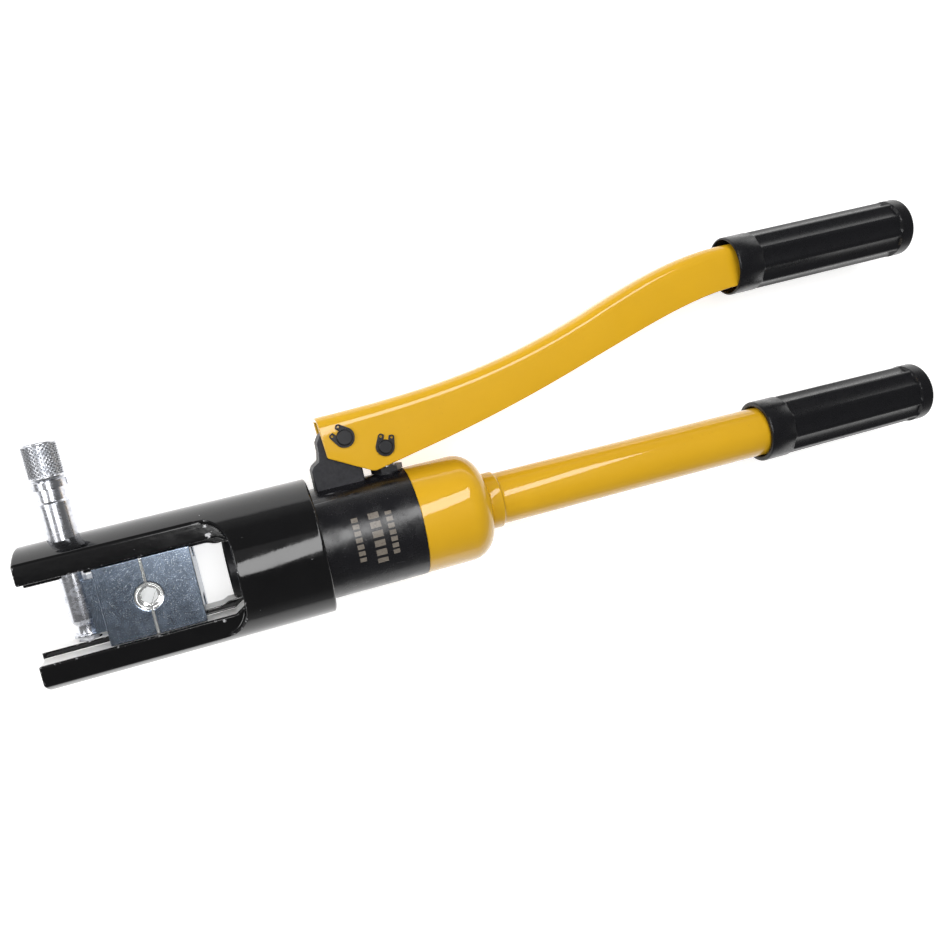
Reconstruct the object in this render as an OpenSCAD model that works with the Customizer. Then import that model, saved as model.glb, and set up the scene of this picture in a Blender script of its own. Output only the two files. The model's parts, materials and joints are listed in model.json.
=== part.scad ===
// Hand-operated hydraulic crimping tool, lying on its side.
// Origin: on the cylinder axis, at the rear face of the round head.
// +X runs back along the cylinder axis towards the handles.
// +Y points across the axis towards the pump lever and the latch knob.
// +Z is square to the plane of the two handles.

/* [Head] */
// Diameter of the round head
head_d = 68; // [66:1:72]
// Length of the head, fork included
head_len = 135; // [132:1:140]
// Depth of the fork slot from the tip
slot_depth = 93.2; // [92:0.2:94]
// Height of the fork slot between its two ledges
slot_h = 37.6; // [37.4:0.2:38.4]
// Width of the fork across its two milled flats
fork_flats = 37.4; // [36.8:0.2:39]
// Thickness of the rib that guides the dies
rib_w = 11.2; // [9:0.2:11.4]
// Height of the rib above the ledges
rib_h = 3.3; // [3:0.1:3.5]

/* [Dies] */
// Distance from the fork tip to the line where the dies meet
split_from_tip = 53; // [52:0.5:54]
// Size of the hexagon across its corners
hex_corners = 8.6; // [5:0.2:14]
// Height of each die between the ledges
die_h = 36.6; // [36:0.2:36.8]
// Thickness of each die from face to face
die_w = 36.6; // [34:0.2:36.8]
// Length of each die along the axis, without the fixed die's heel
die_len = 21.2; // [20.4:0.2:22]
// How far the moving die opens
die_travel = 13.4; // [8:0.2:13.6]

/* [Latch] */
// Diameter of the latch pin
latch_d = 14; // [13:0.5:15]
// Distance from the fork tip to the pin's axis
latch_from_tip = 21.3; // [20:0.1:21.4]
// Distance from the pin's axis to its flat
latch_flat = 4.3; // [4:0.1:4.4]
// Diameter of the knurled knob
knob_d = 16; // [15:0.5:20]
// Height of the knob's top face above the cylinder axis
knob_top = 79; // [77:0.5:82]

/* [Pump] */
// Diameter of the pump body
body_d = 56; // [54:0.5:57]
// Visible length of the pump body
body_len = 49; // [48.5:0.5:50]
// Diameter of the ram's piston
piston_d = 40; // [38:0.5:40]
// Diameter of the ram's rod
rod_d = 30; // [29:0.5:30.5]
// Diameter of the pump plunger
plunger_d = 10; // [8:0.5:10]
// Diameter of the oil reservoir cap
cap_d = 55.6; // [54:0.4:56]
// Position of the cap's rear face along the axis
cap_rear = 87; // [86:0.5:90]

/* [Fixed handle] */
// Diameter of the handle tube
tube_d = 27.2; // [26.6:0.2:28]
// Position of the grip's open front end
grip_front = 251.5; // [245:0.5:260]
// Position of the grip's closed rear end
grip_rear = 360.5; // [352:0.5:370]
// Diameter of the grip at its front
grip_d = 34.2; // [33:0.2:36]

/* [Lever] */
// Width of the lever channel
channel_w = 20; // [19.6:0.2:21]
// Thickness of the channel's plate
plate_t = 2.5; // [2:0.1:2.6]
// Position of the fulcrum along the axis
fulcrum_x = 22.7; // [22:0.1:23]
// Height of the fulcrum above the axis
fulcrum_y = 50.3; // [50:0.1:51]
// Diameter of the fulcrum pin
fulcrum_d = 8; // [7:0.5:8]
// Diameter of the plunger pin
wrist_d = 7.2; // [6.4:0.2:7.2]
// Diameter of the lever's grip
lever_grip_d = 31.6; // [31.4:0.2:33]
// Length of the lever's grip
lever_grip_len = 114; // [105:1:120]

/* [Hidden] */
$fn = 64;
EPS = 0.01;
running = 0.05;          // radial running clearance
seat_gap = 0.1;          // gap between flat faces that only touch
wall = 3;                // wall of the reservoir cap

// Head
head_r = head_d / 2;
tip_x = -head_len;
slot_back_x = tip_x + slot_depth;
ledge_y = slot_h / 2;
rib_y = ledge_y - rib_h;
flat_z = fork_flats / 2;
flat_corner_r = 13.5;
flat_corner_y = 15;
ledge_corner_r = 5;
rib_corner_r = 8;
rib_back_x = slot_back_x - rib_h - 0.3;
guide_len = 11.8;
chamber_front_x = slot_back_x + guide_len;
socket_r = 24;
socket_len = 22;
shoulder_depth = 1;      // how deep the pump body's shoulder sits in the head
wiper_x = slot_back_x + 5;
wiper_w = 3;
wiper_r = rod_d / 2 + 2.4;

// Dies
split_x = tip_x + split_from_tip;
groove_z = rib_w / 2 + 0.3;
groove_y = rib_y - 0.3;
heel_len = 5.9;
heel_z = 8;
heel_y = 13;
web_chamfer = 6;
relief = 1.1;            // bevel along each die's working edge
lead_in_r = 7.2;
lead_in_depth = 1.8;

// Latch
latch_x = tip_x + latch_from_tip;
latch_r = latch_d / 2;
foot_r = latch_r - 2;
foot_end_y = -27;
ring_low_y = -13.9;
ring_top_y = -12.2;
neck_r = 5.1;
neck_top_y = -8.2;
cone_top_y = -5.6;
flat_top_y = ledge_y - 0.4;
shoulder_y = 50.6;
collar_y = 57.4;
collar_len = 3.4;
knob_y = collar_y + collar_len + 0.4;
knob_bore_r = 4.5;
detent_y = 24;
detent_ball_r = 2.4;
detent_bore_r = 2.6;

// Pump body and ram
body_r = body_d / 2;
piston_r = piston_d / 2;
rod_r = rod_d / 2;
ram_nose_x = rib_back_x - 0.2;
shoulder_x = seat_gap - shoulder_depth;
piston_front_x = 10;
piston_len = 14;
block_front_x = 26;
block_rear_x = 62;
rear_spigot_r = 23.9;
seal_w = 4;
seal_groove = 3;
plunger_r = plunger_d / 2;
plunger_x = 41.4;
chamber_floor_y = 6;
plunger_foot_y = 11;
gland_r = 7;
gland_floor_y = 19.5;
gland_top_y = 30.8;
gland_hex_r = 8.2;
seat_floor_y = 22.5;
passage_r = 1.25;
valve_r = 3.2;
valve_ball_r = 2.4;
seat_hole_r = 1.4;
inlet_seat_x = 56;
outlet_seat_x = 36.5;
relief_seat_x = 36;
relief_ball_r = 2;
inlet_y = 12;
outlet_y = 10;
outlet_z = -12;
relief_z = 13;
release_r = 4;
release_tip_x = 32;
cap_fillet = 13;
cap_r = cap_d / 2;
cap_hole_r = 9;

// Fixed handle
tube_r = tube_d / 2;
tube_wall = 2.2;
collar_front_x = cap_rear + 0.3;
collar_rear_x = cap_rear + 7.5;
collar_r = tube_r + 1.3;
tube_end_x = grip_rear - 12;
grip_r = grip_d / 2;
grip_rear_r = grip_r - 0.6;

// Lever
channel_z = channel_w / 2;
inner_z = channel_z - plate_t;
fulcrum_r = fulcrum_d / 2;
wrist_r = wrist_d / 2;
wrist_x = plunger_x;
wrist_y = 41.3;
wrist_slide = 2.3;
bracket_z = inner_z - 0.3;
clip_t = 1;
clip_gap = 0.05;
pin_end_z = channel_z + 2.4;
clip_groove = 0.5;
fulcrum_lug_angle = 136;
wrist_lug_angle = 72;
mouth_x = 249.2;
mouth_y = 93.9;
lever_slope = 1.3;
tail_len = 92;
tail_y = 11;
tail_z = 9.4;
lever_grip_r = lever_grip_d / 2;
mouth_gap = 0.5;         // keeps the tilted grip clear of the channel's square end

// ---------- Shapes used by several sub-parts ----------

// A round bar along X from x0 to x1.
module bar_x(x0, x1, r) {
    translate([x0, 0, 0]) rotate([0, 90, 0]) cylinder(h = x1 - x0, r = r);
}

// A round bar along Y from y0 to y1.
module bar_y(y0, y1, r) {
    translate([0, y1, 0]) rotate([90, 0, 0]) cylinder(h = y1 - y0, r = r);
}

// A round bar along Z, centred on the plane of the handles.
module bar_z(half, r) {
    cylinder(h = 2 * half, r = r, center = true);
}

// Turns an [x, radius] outline about the X axis.
module turned_x(outline) {
    rotate([90, 0, 90]) rotate_extrude() polygon([for (p = outline) [p[1], p[0]]]);
}

// Turns a [y, radius] outline about the Y axis.
module turned_y(outline) {
    rotate([-90, 0, 0]) rotate_extrude() polygon([for (p = outline) [p[1], p[0]]]);
}

// A round-section ring about the X axis.
module ring_x(x, inner_r, outer_r) {
    section_r = (outer_r - inner_r) / 2;
    translate([x, 0, 0]) rotate([0, 90, 0]) rotate_extrude()
        translate([inner_r + section_r, 0]) circle(r = section_r, $fn = 24);
}

// A square-section ring about the X axis.
module band_x(x0, x1, inner_r, outer_r) {
    difference() {
        bar_x(x0, x1, outer_r);
        bar_x(x0 - 1, x1 + 1, inner_r);
    }
}

// A slot outline open at the tip, with two round inner corners.
module slot_outline(back_x, half_h, corner_r) {
    polygon([[tip_x - 5, -half_h], [back_x - corner_r, -half_h], [back_x - corner_r, half_h],
        [tip_x - 5, half_h]]);
    translate([back_x - corner_r - EPS, -half_h + corner_r])
        square([corner_r + EPS, 2 * (half_h - corner_r)]);
    for (side = [-1, 1])
        translate([back_x - corner_r, side * (half_h - corner_r)]) circle(r = corner_r);
}

// A coil spring along X, from x0, closed on itself as one tube.
module coil_x(x0, length, mean_r, wire_r, turns) {
    sides = 8;
    steps = 16;
    count = round(turns * steps);
    rise = length - 2 * wire_r;
    points = [for (i = [0 : count], j = [0 : sides - 1])
        let (a = 360 * i / steps, b = 360 * j / sides, r = mean_r + wire_r * cos(b))
            [x0 + wire_r + rise * i / count + wire_r * sin(b), r * cos(a), r * sin(a)]];
    walls = [for (i = [0 : count - 1], j = [0 : sides - 1])
        [i * sides + j, i * sides + (j + 1) % sides, (i + 1) * sides + (j + 1) % sides, (i + 1) * sides + j]];
    start = [for (j = [sides - 1 : -1 : 0]) j];
    end = [for (j = [0 : sides - 1]) count * sides + j];
    polyhedron(points, concat([start], walls, [end]), convexity = 6);
}

// ---------- Head ----------

module fork_blank() {
    turned_x([[tip_x, 0], [tip_x, head_r - 2], [tip_x + 2, head_r], [-1.2, head_r], [0, head_r - 1.2],
        [0, 0]]);
}

module fork_flat_cut() {
    linear_extrude(height = head_r)
        slot_outline(slot_back_x + seat_gap, flat_corner_y + flat_corner_r, flat_corner_r);
}

module fork_head() {
    color("#17181a") difference() {
        fork_blank();
        for (side = [0, 1]) mirror([0, 0, side]) {
            translate([0, 0, flat_z]) fork_flat_cut();
            translate([0, 0, rib_w / 2]) linear_extrude(height = head_r)
                slot_outline(slot_back_x, ledge_y, ledge_corner_r);
        }
        linear_extrude(height = head_d, center = true) slot_outline(rib_back_x, rib_y, rib_corner_r);
        translate([latch_x, 0, 0]) {
            bar_y(0, head_d, latch_r + running);
            bar_y(foot_end_y - 1, 0, foot_r + running);
            translate([0, detent_y, -head_r]) cylinder(h = head_r, r = detent_bore_r);
        }
        bar_x(slot_back_x - 10, chamber_front_x + 1, rod_r + running);
        bar_x(wiper_x, wiper_x + wiper_w, wiper_r);
        bar_x(chamber_front_x, 1, piston_r + 0.5);
        bar_x(-socket_len, 1, socket_r + running);
        bar_x(-shoulder_depth, 1, body_r + running);
    }
}

// ---------- Dies ----------

// One half of a die pair: a block from x0 to x1 with a guide groove in each side.
module die_block(x0, x1) {
    difference() {
        translate([x0, -die_h / 2, -die_w / 2]) cube([x1 - x0, die_h, die_w]);
        for (side = [-1, 1])
            translate([x0 - 1, side > 0 ? groove_y : -groove_y - head_r, -groove_z])
                cube([x1 - x0 + 2, head_r, 2 * groove_z]);
    }
}

// The shared cavity: a hexagon with its corners on the split line and a lead-in cone at each face,
// and the bevels along the line where the dies meet.
module die_cavity() {
    translate([split_x, 0, 0]) {
        rotate([0, 0, 90]) cylinder(h = head_d, r = hex_corners / 2, center = true, $fn = 6);
        for (side = [0, 1]) mirror([0, 0, side]) {
            translate([0, 0, die_w / 2 - lead_in_depth])
                cylinder(h = lead_in_depth + EPS, r1 = hex_corners / 2, r2 = lead_in_r);
            rotate([90, 0, 0]) linear_extrude(height = die_h + 2, center = true)
                polygon([[-relief, die_w / 2 + EPS], [0, die_w / 2 - relief], [relief, die_w / 2 + EPS]]);
        }
    }
}

module fixed_die() {
    front_x = split_x - seat_gap / 2 - die_len;
    color("#7f8894") difference() {
        union() {
            die_block(front_x, split_x - seat_gap / 2);
            translate([front_x - heel_len, -heel_y, -heel_z]) cube([heel_len + 1, 2 * heel_y, 2 * heel_z]);
        }
        die_cavity();
    }
}

module moving_die() {
    rear_x = split_x + seat_gap / 2 + die_len + 1.1;
    color("#7f8894") difference() {
        die_block(split_x + seat_gap / 2, rear_x);
        die_cavity();
        for (side = [0, 1]) mirror([0, side, 0])
            translate([0, 0, -groove_z]) linear_extrude(height = 2 * groove_z)
                polygon([[rear_x - web_chamfer, groove_y + EPS], [rear_x + 1, groove_y + EPS],
                    [rear_x + 1, groove_y - web_chamfer - 1]]);
    }
}

// ---------- Latch ----------

module latch_pin() {
    color("#c9ccd2") translate([latch_x, 0, 0]) difference() {
        turned_y([[foot_end_y, 0], [foot_end_y, foot_r - 1], [foot_end_y + 1, foot_r], [ring_low_y, foot_r],
            [ring_low_y, latch_r], [ring_top_y, latch_r], [ring_top_y, neck_r], [neck_top_y, neck_r],
            [cone_top_y, latch_r], [shoulder_y, latch_r],
            [shoulder_y + 1, latch_r - 0.7], [collar_y, latch_r - 0.7], [collar_y, knob_bore_r - running],
            [knob_top - 4, knob_bore_r - running], [knob_top - 4, 0]]);
        translate([latch_flat, foot_end_y - 1, -head_r])
            cube([head_r, flat_top_y - foot_end_y + 1, 2 * head_r]);
    }
}

module latch_collar() {
    notch = 3;
    color("#c9ccd2") translate([latch_x, 0, 0]) difference() {
        bar_y(collar_y, collar_y + collar_len, knob_d / 2);
        bar_y(collar_y - 1, collar_y + collar_len + 1, knob_bore_r);
        for (turn = [0, 180]) rotate([0, turn, 0])
            translate([knob_d / 2 - 1, collar_y - 1, -notch / 2]) cube([4, collar_len + 2, notch]);
    }
}

module latch_knob() {
    knob_r = knob_d / 2;
    color("#d5d7da") translate([latch_x, 0, 0]) difference() {
        turned_y([[knob_y, 0], [knob_y, knob_r - 2.2], [knob_y + 0.7, knob_r - 0.8], [knob_y + 2.4, knob_r],
            [knob_top - 0.8, knob_r], [knob_top, knob_r - 0.8], [knob_top, 0]]);
        bar_y(knob_y - 1, knob_top - 3.8, knob_bore_r);
    }
}

module detent_ball() {
    color("#b8bcc2") translate([latch_x, detent_y, -latch_r - 0.05 - detent_ball_r]) sphere(r = detent_ball_r);
}

module detent_spring() {
    spring_top = latch_r + 2 * detent_ball_r + 0.15;
    color("#9a9da3") translate([latch_x, detent_y, 0]) rotate([0, 90, 0])
        coil_x(spring_top, 2.6, 1.7, 0.25, 3);
}

module detent_screw() {
    screw_len = 3;
    socket_depth = 2;
    color("#2b2c2f") translate([latch_x, detent_y, -flat_z + 0.2]) difference() {
        cylinder(h = screw_len, r = detent_bore_r - running);
        translate([0, 0, -1]) cylinder(h = socket_depth + 1, r = 1.3, $fn = 6);
    }
}

// ---------- Pump body and ram ----------

module pump_body() {
    color("#202124") difference() {
        turned_x([[-socket_len + 0.2, 0], [-socket_len + 0.2, socket_r], [shoulder_x, socket_r],
            [shoulder_x, body_r], [body_len - seat_gap, body_r], [body_len - seat_gap, rear_spigot_r],
            [block_rear_x, rear_spigot_r], [block_rear_x, 0]]);
        bar_x(-socket_len - 1, block_front_x, piston_r + running);
        // Groove of the seal between the body and the head
        difference() {
            bar_x(-12, -9, head_r);
            bar_x(-13, -8, socket_r - 1.8);
        }
        // Groove of the seal between the body and the cap
        difference() {
            bar_x(54, 56.4, head_r);
            bar_x(53, 57.4, rear_spigot_r - 1.8);
        }
        // Milled seat of the fulcrum bracket
        translate([4 - seat_gap, seat_floor_y, -bracket_z - running])
            cube([24.7 + 2 * seat_gap, head_r, 2 * (bracket_z + running)]);
        // Plunger bore and gland socket
        translate([plunger_x, 0, 0]) {
            bar_y(chamber_floor_y, head_r, plunger_r + running);
            bar_y(gland_floor_y, head_r, gland_r + running);
        }
        // Inlet valve, from the reservoir to the plunger
        translate([0, inlet_y, 0]) {
            bar_x(plunger_x, block_rear_x, passage_r);
            bar_x(48.5, block_rear_x + 1, valve_r);
        }
        // Outlet valve, from the plunger to the ram
        translate([0, outlet_y, outlet_z]) {
            bar_x(block_front_x - 1, outlet_seat_x, valve_r);
            bar_x(outlet_seat_x - 1, plunger_x, passage_r);
        }
        translate([plunger_x - 0.6, outlet_y, outlet_z]) cylinder(h = -outlet_z, r = passage_r);
        // Relief valve, from the ram to the reservoir
        translate([0, 0, relief_z]) {
            bar_x(block_front_x - 1, relief_seat_x + 1, passage_r);
            bar_x(relief_seat_x, block_rear_x + 1, valve_r);
        }
        // Release valve on the axis and its drain
        bar_x(block_front_x - 1, release_tip_x + 1, passage_r);
        bar_x(release_tip_x, block_rear_x + 1, release_r + running);
        bar_x(block_rear_x - 8, block_rear_x - 5, release_r + 2);
        translate([release_tip_x + 2, 0, 0]) bar_y(-10, 0, passage_r);
        translate([0, -10, 0]) bar_x(release_tip_x + 2, block_rear_x + 1, passage_r);
    }
}

module ram() {
    piston_rear_x = piston_front_x + piston_len;
    seal_x = piston_rear_x - 3 - seal_w;
    guide_x = piston_front_x + 2;
    color("#3b3d41") turned_x([[ram_nose_x, 0], [ram_nose_x, rod_r - 1], [ram_nose_x + 1, rod_r],
        [piston_front_x, rod_r], [piston_front_x, piston_r], [guide_x, piston_r],
        [guide_x, piston_r - seal_groove / 2], [guide_x + 3, piston_r - seal_groove / 2],
        [guide_x + 3, piston_r], [seal_x, piston_r], [seal_x, piston_r - seal_groove],
        [seal_x + seal_w, piston_r - seal_groove], [seal_x + seal_w, piston_r], [piston_rear_x, piston_r],
        [piston_rear_x, 0]]);
}

module ram_seal() {
    seal_x = piston_front_x + piston_len - 3 - seal_w;
    color("#6b4a2a")
        band_x(seal_x + 0.1, seal_x + seal_w - 0.1, piston_r - seal_groove + 0.02, piston_r + 0.02);
}

module ram_guide_ring() {
    guide_x = piston_front_x + 2;
    color("#d8d2c0") band_x(guide_x + 0.1, guide_x + 2.9, piston_r - seal_groove / 2 + 0.02, piston_r + 0.02);
}

module ram_wiper() {
    color("#2a2a2a") band_x(wiper_x + 0.1, wiper_x + wiper_w - 0.1, rod_r + 0.02, wiper_r - 0.02);
}

module return_spring() {
    wire_r = 1.5;
    spring_x = chamber_front_x + 0.2;
    color("#8d9096") coil_x(spring_x, piston_front_x - spring_x - 0.2, rod_r + 2.3, wire_r, 5);
}

module head_o_ring() {
    color("#1c1c1c") ring_x(-10.5, socket_r - 1.75, socket_r + 0.02);
}

// ---------- Plunger and its gland ----------

module pump_plunger() {
    eye_half = wrist_slide + wrist_r + 2.6;
    eye_low = wrist_y - wrist_r - 3;
    eye_high = wrist_y + wrist_r + 3;
    slot_r = wrist_r + 0.2;
    slot_y = wrist_y + 0.12;
    color("#b4b8be") difference() {
        union() {
            translate([plunger_x, 0, 0]) bar_y(plunger_foot_y, eye_low + 1, plunger_r);
            translate([plunger_x - eye_half, eye_low, -bracket_z])
                cube([2 * eye_half, eye_high - eye_low, 2 * bracket_z]);
        }
        for (end = [-1, 1]) translate([wrist_x + end * wrist_slide, slot_y, 0]) bar_z(head_r, slot_r);
        translate([wrist_x - wrist_slide, slot_y - slot_r, -head_r])
            cube([2 * wrist_slide, 2 * slot_r, 2 * head_r]);
    }
}

module plunger_gland() {
    hex_y = body_r + 0.2;
    color("#161719") translate([plunger_x, 0, 0]) difference() {
        union() {
            bar_y(gland_floor_y + 0.1, gland_top_y - 0.4, gland_r);
            translate([0, gland_top_y, 0]) rotate([90, 0, 0])
                cylinder(h = gland_top_y - hex_y, r = gland_hex_r, $fn = 6);
        }
        bar_y(0, head_d, plunger_r + running);
        bar_y(gland_floor_y - 1, gland_floor_y + 3, plunger_r + 1.2);
    }
}

module plunger_seal() {
    color("#1c1c1c") translate([plunger_x, 0, 0]) difference() {
        bar_y(gland_floor_y + 0.15, gland_floor_y + 2.9, plunger_r + 1.15);
        bar_y(0, head_r, plunger_r + 0.02);
    }
}

// ---------- Valves ----------

// How far a ball's centre stays from the edge of the round seat it closes.
function ball_sit(ball_r, hole_r) = sqrt(ball_r * ball_r - hole_r * hole_r) + running;

module inlet_seat() {
    color("#a9822e") translate([0, inlet_y, 0])
        band_x(inlet_seat_x, block_rear_x - seat_gap, seat_hole_r, valve_r - running);
}

module inlet_ball() {
    sit = ball_sit(valve_ball_r, seat_hole_r);
    color("#c3c6ca") translate([inlet_seat_x - sit, inlet_y, 0]) sphere(r = valve_ball_r);
}

module inlet_spring() {
    color("#8d9096") translate([0, inlet_y, 0]) coil_x(48.6, 2.6, 1.9, 0.3, 3);
}

module outlet_ball() {
    sit = ball_sit(valve_ball_r, passage_r);
    color("#c3c6ca") translate([outlet_seat_x - sit, outlet_y, outlet_z]) sphere(r = valve_ball_r);
}

module outlet_spring() {
    color("#8d9096") translate([0, outlet_y, outlet_z]) coil_x(28.1, 3.6, 1.9, 0.3, 4);
}

module outlet_retainer() {
    color("#a9822e") translate([0, outlet_y, outlet_z])
        band_x(block_front_x + 0.1, 28, seat_hole_r, valve_r - running);
}

module relief_ball() {
    sit = ball_sit(relief_ball_r, passage_r);
    color("#c3c6ca") translate([relief_seat_x + sit, 0, relief_z]) sphere(r = relief_ball_r);
}

module relief_spring() {
    color("#8d9096") translate([0, 0, relief_z]) coil_x(39.9, 11.5, 2, 0.5, 6);
}

module relief_screw() {
    color("#a9822e") translate([0, 0, relief_z]) difference() {
        bar_x(51.6, 60, valve_r - running);
        bar_x(51, 61, 0.8);
        translate([58.6, -valve_r, -0.5]) cube([2, 2 * valve_r, 1]);
    }
}

// ---------- Reservoir ----------

module reservoir_cap() {
    inner_r = cap_r - wall;
    fillet_x = cap_rear - cap_fillet;
    inner_fillet = cap_fillet - wall;
    outer_arc = [for (a = [0 : 10 : 90])
        [fillet_x + cap_fillet * sin(a), cap_r - cap_fillet + cap_fillet * cos(a)]];
    inner_arc = [for (a = [90 : -10 : 0])
        [fillet_x + inner_fillet * sin(a), inner_r - inner_fillet + inner_fillet * cos(a)]];
    color("#d8a81e") turned_x(concat([[body_len, cap_r]], outer_arc, [[cap_rear, cap_hole_r]],
        [[cap_rear - wall, cap_hole_r]], inner_arc, [[block_rear_x + 1, inner_r]],
        [[block_rear_x + 1, rear_spigot_r + running]], [[body_len, rear_spigot_r + running]]));
}

module cap_o_ring() {
    color("#1c1c1c") ring_x(55.2, rear_spigot_r - 1.75, rear_spigot_r + 0.02);
}

module oil_bladder() {
    front_x = block_rear_x + 0.3;
    rear_x = cap_rear - wall - 1.5;
    outer_r = 19;
    skin = 1.5;
    spindle_gap = 1.5;
    color("#3a2b22") difference() {
        band_x(front_x, rear_x, release_r + spindle_gap, outer_r);
        band_x(front_x + skin, rear_x - skin, release_r + spindle_gap + skin, outer_r - skin);
    }
}

// ---------- Fixed handle and release valve ----------

module release_spindle() {
    color("#8f939a") turned_x([[release_tip_x + 0.1, 0], [release_tip_x + 2.4, release_r],
        [collar_rear_x - 1, release_r], [collar_rear_x - 1, 0]]);
}

module spindle_seal() {
    color("#1c1c1c") band_x(block_rear_x - 7.9, block_rear_x - 5.1, release_r + 0.02, release_r + 1.95);
}

module handle_collar() {
    neck_front_x = cap_rear - wall;
    spigot_r = tube_r - tube_wall - running;
    spigot_end_x = collar_rear_x + 12;
    color("#d8a81e") difference() {
        turned_x([[neck_front_x, 0], [neck_front_x, cap_hole_r - 0.1], [collar_front_x, cap_hole_r - 0.1],
            [collar_front_x, collar_r - 0.6], [collar_front_x + 0.6, collar_r], [collar_rear_x - 1.2, collar_r],
            [collar_rear_x, tube_r], [collar_rear_x, spigot_r], [spigot_end_x, spigot_r], [spigot_end_x, 0]]);
        bar_x(neck_front_x - 1, collar_rear_x, release_r + running);
    }
}

module handle_tube() {
    color("#d8a81e") band_x(collar_rear_x + 0.05, tube_end_x, tube_r - tube_wall, tube_r);
}

module fixed_grip() {
    lip = 1.2;
    color("#1d1e20") difference() {
        turned_x([[grip_front, 0], [grip_front, grip_r - lip], [grip_front + lip, grip_r],
            [grip_rear - 3, grip_rear_r], [grip_rear - 0.8, grip_rear_r - 0.9], [grip_rear, grip_rear_r - 3],
            [grip_rear, 0]]);
        bar_x(grip_front - 1, tube_end_x + 0.5, tube_r + running);
    }
}

// ---------- Lever ----------

function bezier(p, t) =
    pow(1 - t, 3) * p[0] + 3 * t * pow(1 - t, 2) * p[1] + 3 * t * t * (1 - t) * p[2] + pow(t, 3) * p[3];

function curve(p, steps = 12) = [for (i = [0 : steps]) bezier(p, i / steps)];

// The channel's back, from the front edge to the grip, lowered by inset.
function channel_back(inset) = [for (p = concat(
    curve([[11.2, 62.2], [62, 63.4], [104, 66], [160, 85]]),
    curve([[163, 86.1], [195, 97.3], [220, 105.8], [mouth_x, mouth_y + 12]]))) [p[0], p[1] - inset]];

// The free edges of the two cheeks, from the grip to the front edge.
cheek_edge = concat(
    curve([[mouth_x, mouth_y - 12], [220, 80.6], [192, 71], [160, 61.4]]),
    curve([[156, 60.1], [120, 48.8], [92, 41.8], [34, 30.4]]),
    [[27.9, 33.7], [12.6, 42]]);

module lever_channel() {
    color("#d8a81e") difference() {
        union() {
            linear_extrude(height = channel_w, center = true) polygon(concat(channel_back(0), cheek_edge));
            lever_tail(0);
        }
        linear_extrude(height = 2 * inner_z, center = true)
            polygon(concat([[0, 62]], channel_back(plate_t), [[mouth_x + 3, mouth_y + 12 - plate_t],
                [mouth_x + 3, 0], [0, 0]]));
        translate([fulcrum_x, fulcrum_y, 0]) bar_z(head_r, fulcrum_r + 0.02);
        translate([wrist_x, wrist_y, 0]) bar_z(head_r, wrist_r + 0.02);
    }
}

// The stretch of channel that the grip is pushed onto.
module lever_tail(gap) {
    translate([mouth_x, mouth_y, 0]) rotate([0, 0, lever_slope]) difference() {
        translate([-2, -tail_y - gap, -tail_z - gap])
            cube([tail_len + 2 + gap, 2 * (tail_y + gap), 2 * (tail_z + gap)]);
        if (gap == 0) translate([-5, -tail_y - 1, -tail_z + plate_t])
            cube([tail_len + 10, 2 * tail_y + 1 - plate_t, 2 * (tail_z - plate_t)]);
    }
}

module lever_grip() {
    lip = 1.2;
    color("#1d1e20") difference() {
        translate([mouth_x, mouth_y, 0]) rotate([0, 0, lever_slope])
            turned_x([[mouth_gap, 0], [mouth_gap, lever_grip_r - lip], [lip + mouth_gap, lever_grip_r],
                [lever_grip_len - 3, lever_grip_r],
                [lever_grip_len - 0.8, lever_grip_r - 0.9], [lever_grip_len, lever_grip_r - 3],
                [lever_grip_len, 0]]);
        lever_tail(0.1);
    }
}

module fulcrum_bracket() {
    color("#303236") difference() {
        union() {
            linear_extrude(height = 2 * bracket_z, center = true)
                polygon([[4, seat_floor_y + 0.05], [28.6, seat_floor_y + 0.05], [28.6, 33.6],
                    [30.2, 44], [fulcrum_x + 8.2, fulcrum_y], [17, 57], [11.4, 53.2], [9.4, 50], [9.3, 45.4],
                    [8.5, 41], [5.2, 39], [4, 37]]);
            translate([fulcrum_x, fulcrum_y, 0]) bar_z(bracket_z, 8.2);
        }
        translate([fulcrum_x, fulcrum_y, 0]) bar_z(head_r, fulcrum_r + running);
    }
}

// A headless pin along Z with a clip groove near each end.
module clip_pin(r) {
    difference() {
        bar_z(pin_end_z, r);
        for (side = [0, 1]) mirror([0, 0, side])
            translate([0, 0, channel_z + clip_gap]) difference() {
                cylinder(h = clip_t, r = r + 1);
                translate([0, 0, -1]) cylinder(h = clip_t + 2, r = r - clip_groove);
            }
    }
}

// An external retaining ring with its two eyes at the angle lug_a.
module clip(r, lug_a) {
    inner_r = r - clip_groove + 0.02;
    lug_r = r + 2.4;
    lug_spread = 28;
    linear_extrude(height = clip_t - 0.04) rotate([0, 0, lug_a]) difference() {
        union() {
            circle(r = r + 1.35);
            for (side = [-1, 1]) rotate([0, 0, side * lug_spread]) {
                translate([lug_r, 0]) circle(r = 1.35);
                translate([r - 1, -1.35]) square([3.4, 2.7]);
            }
        }
        circle(r = inner_r);
        translate([0, -0.9]) square([r + 6, 1.8]);
        for (side = [-1, 1]) rotate([0, 0, side * lug_spread]) translate([lug_r, 0]) circle(r = 0.7);
    }
}

module clip_pair(r, lug_a) {
    for (side = [0, 1]) mirror([0, 0, side])
        translate([0, 0, channel_z + clip_gap + 0.02]) clip(r, lug_a);
}

module fulcrum_pin() {
    color("#26282b") translate([fulcrum_x, fulcrum_y, 0]) clip_pin(fulcrum_r);
}

module fulcrum_clips() {
    color("#1b1c1e") translate([fulcrum_x, fulcrum_y, 0]) clip_pair(fulcrum_r, fulcrum_lug_angle);
}

module wrist_pin() {
    color("#26282b") translate([wrist_x, wrist_y, 0]) clip_pin(wrist_r);
}

module wrist_clips() {
    color("#1b1c1e") translate([wrist_x, wrist_y, 0]) clip_pair(wrist_r, wrist_lug_angle);
}

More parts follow.
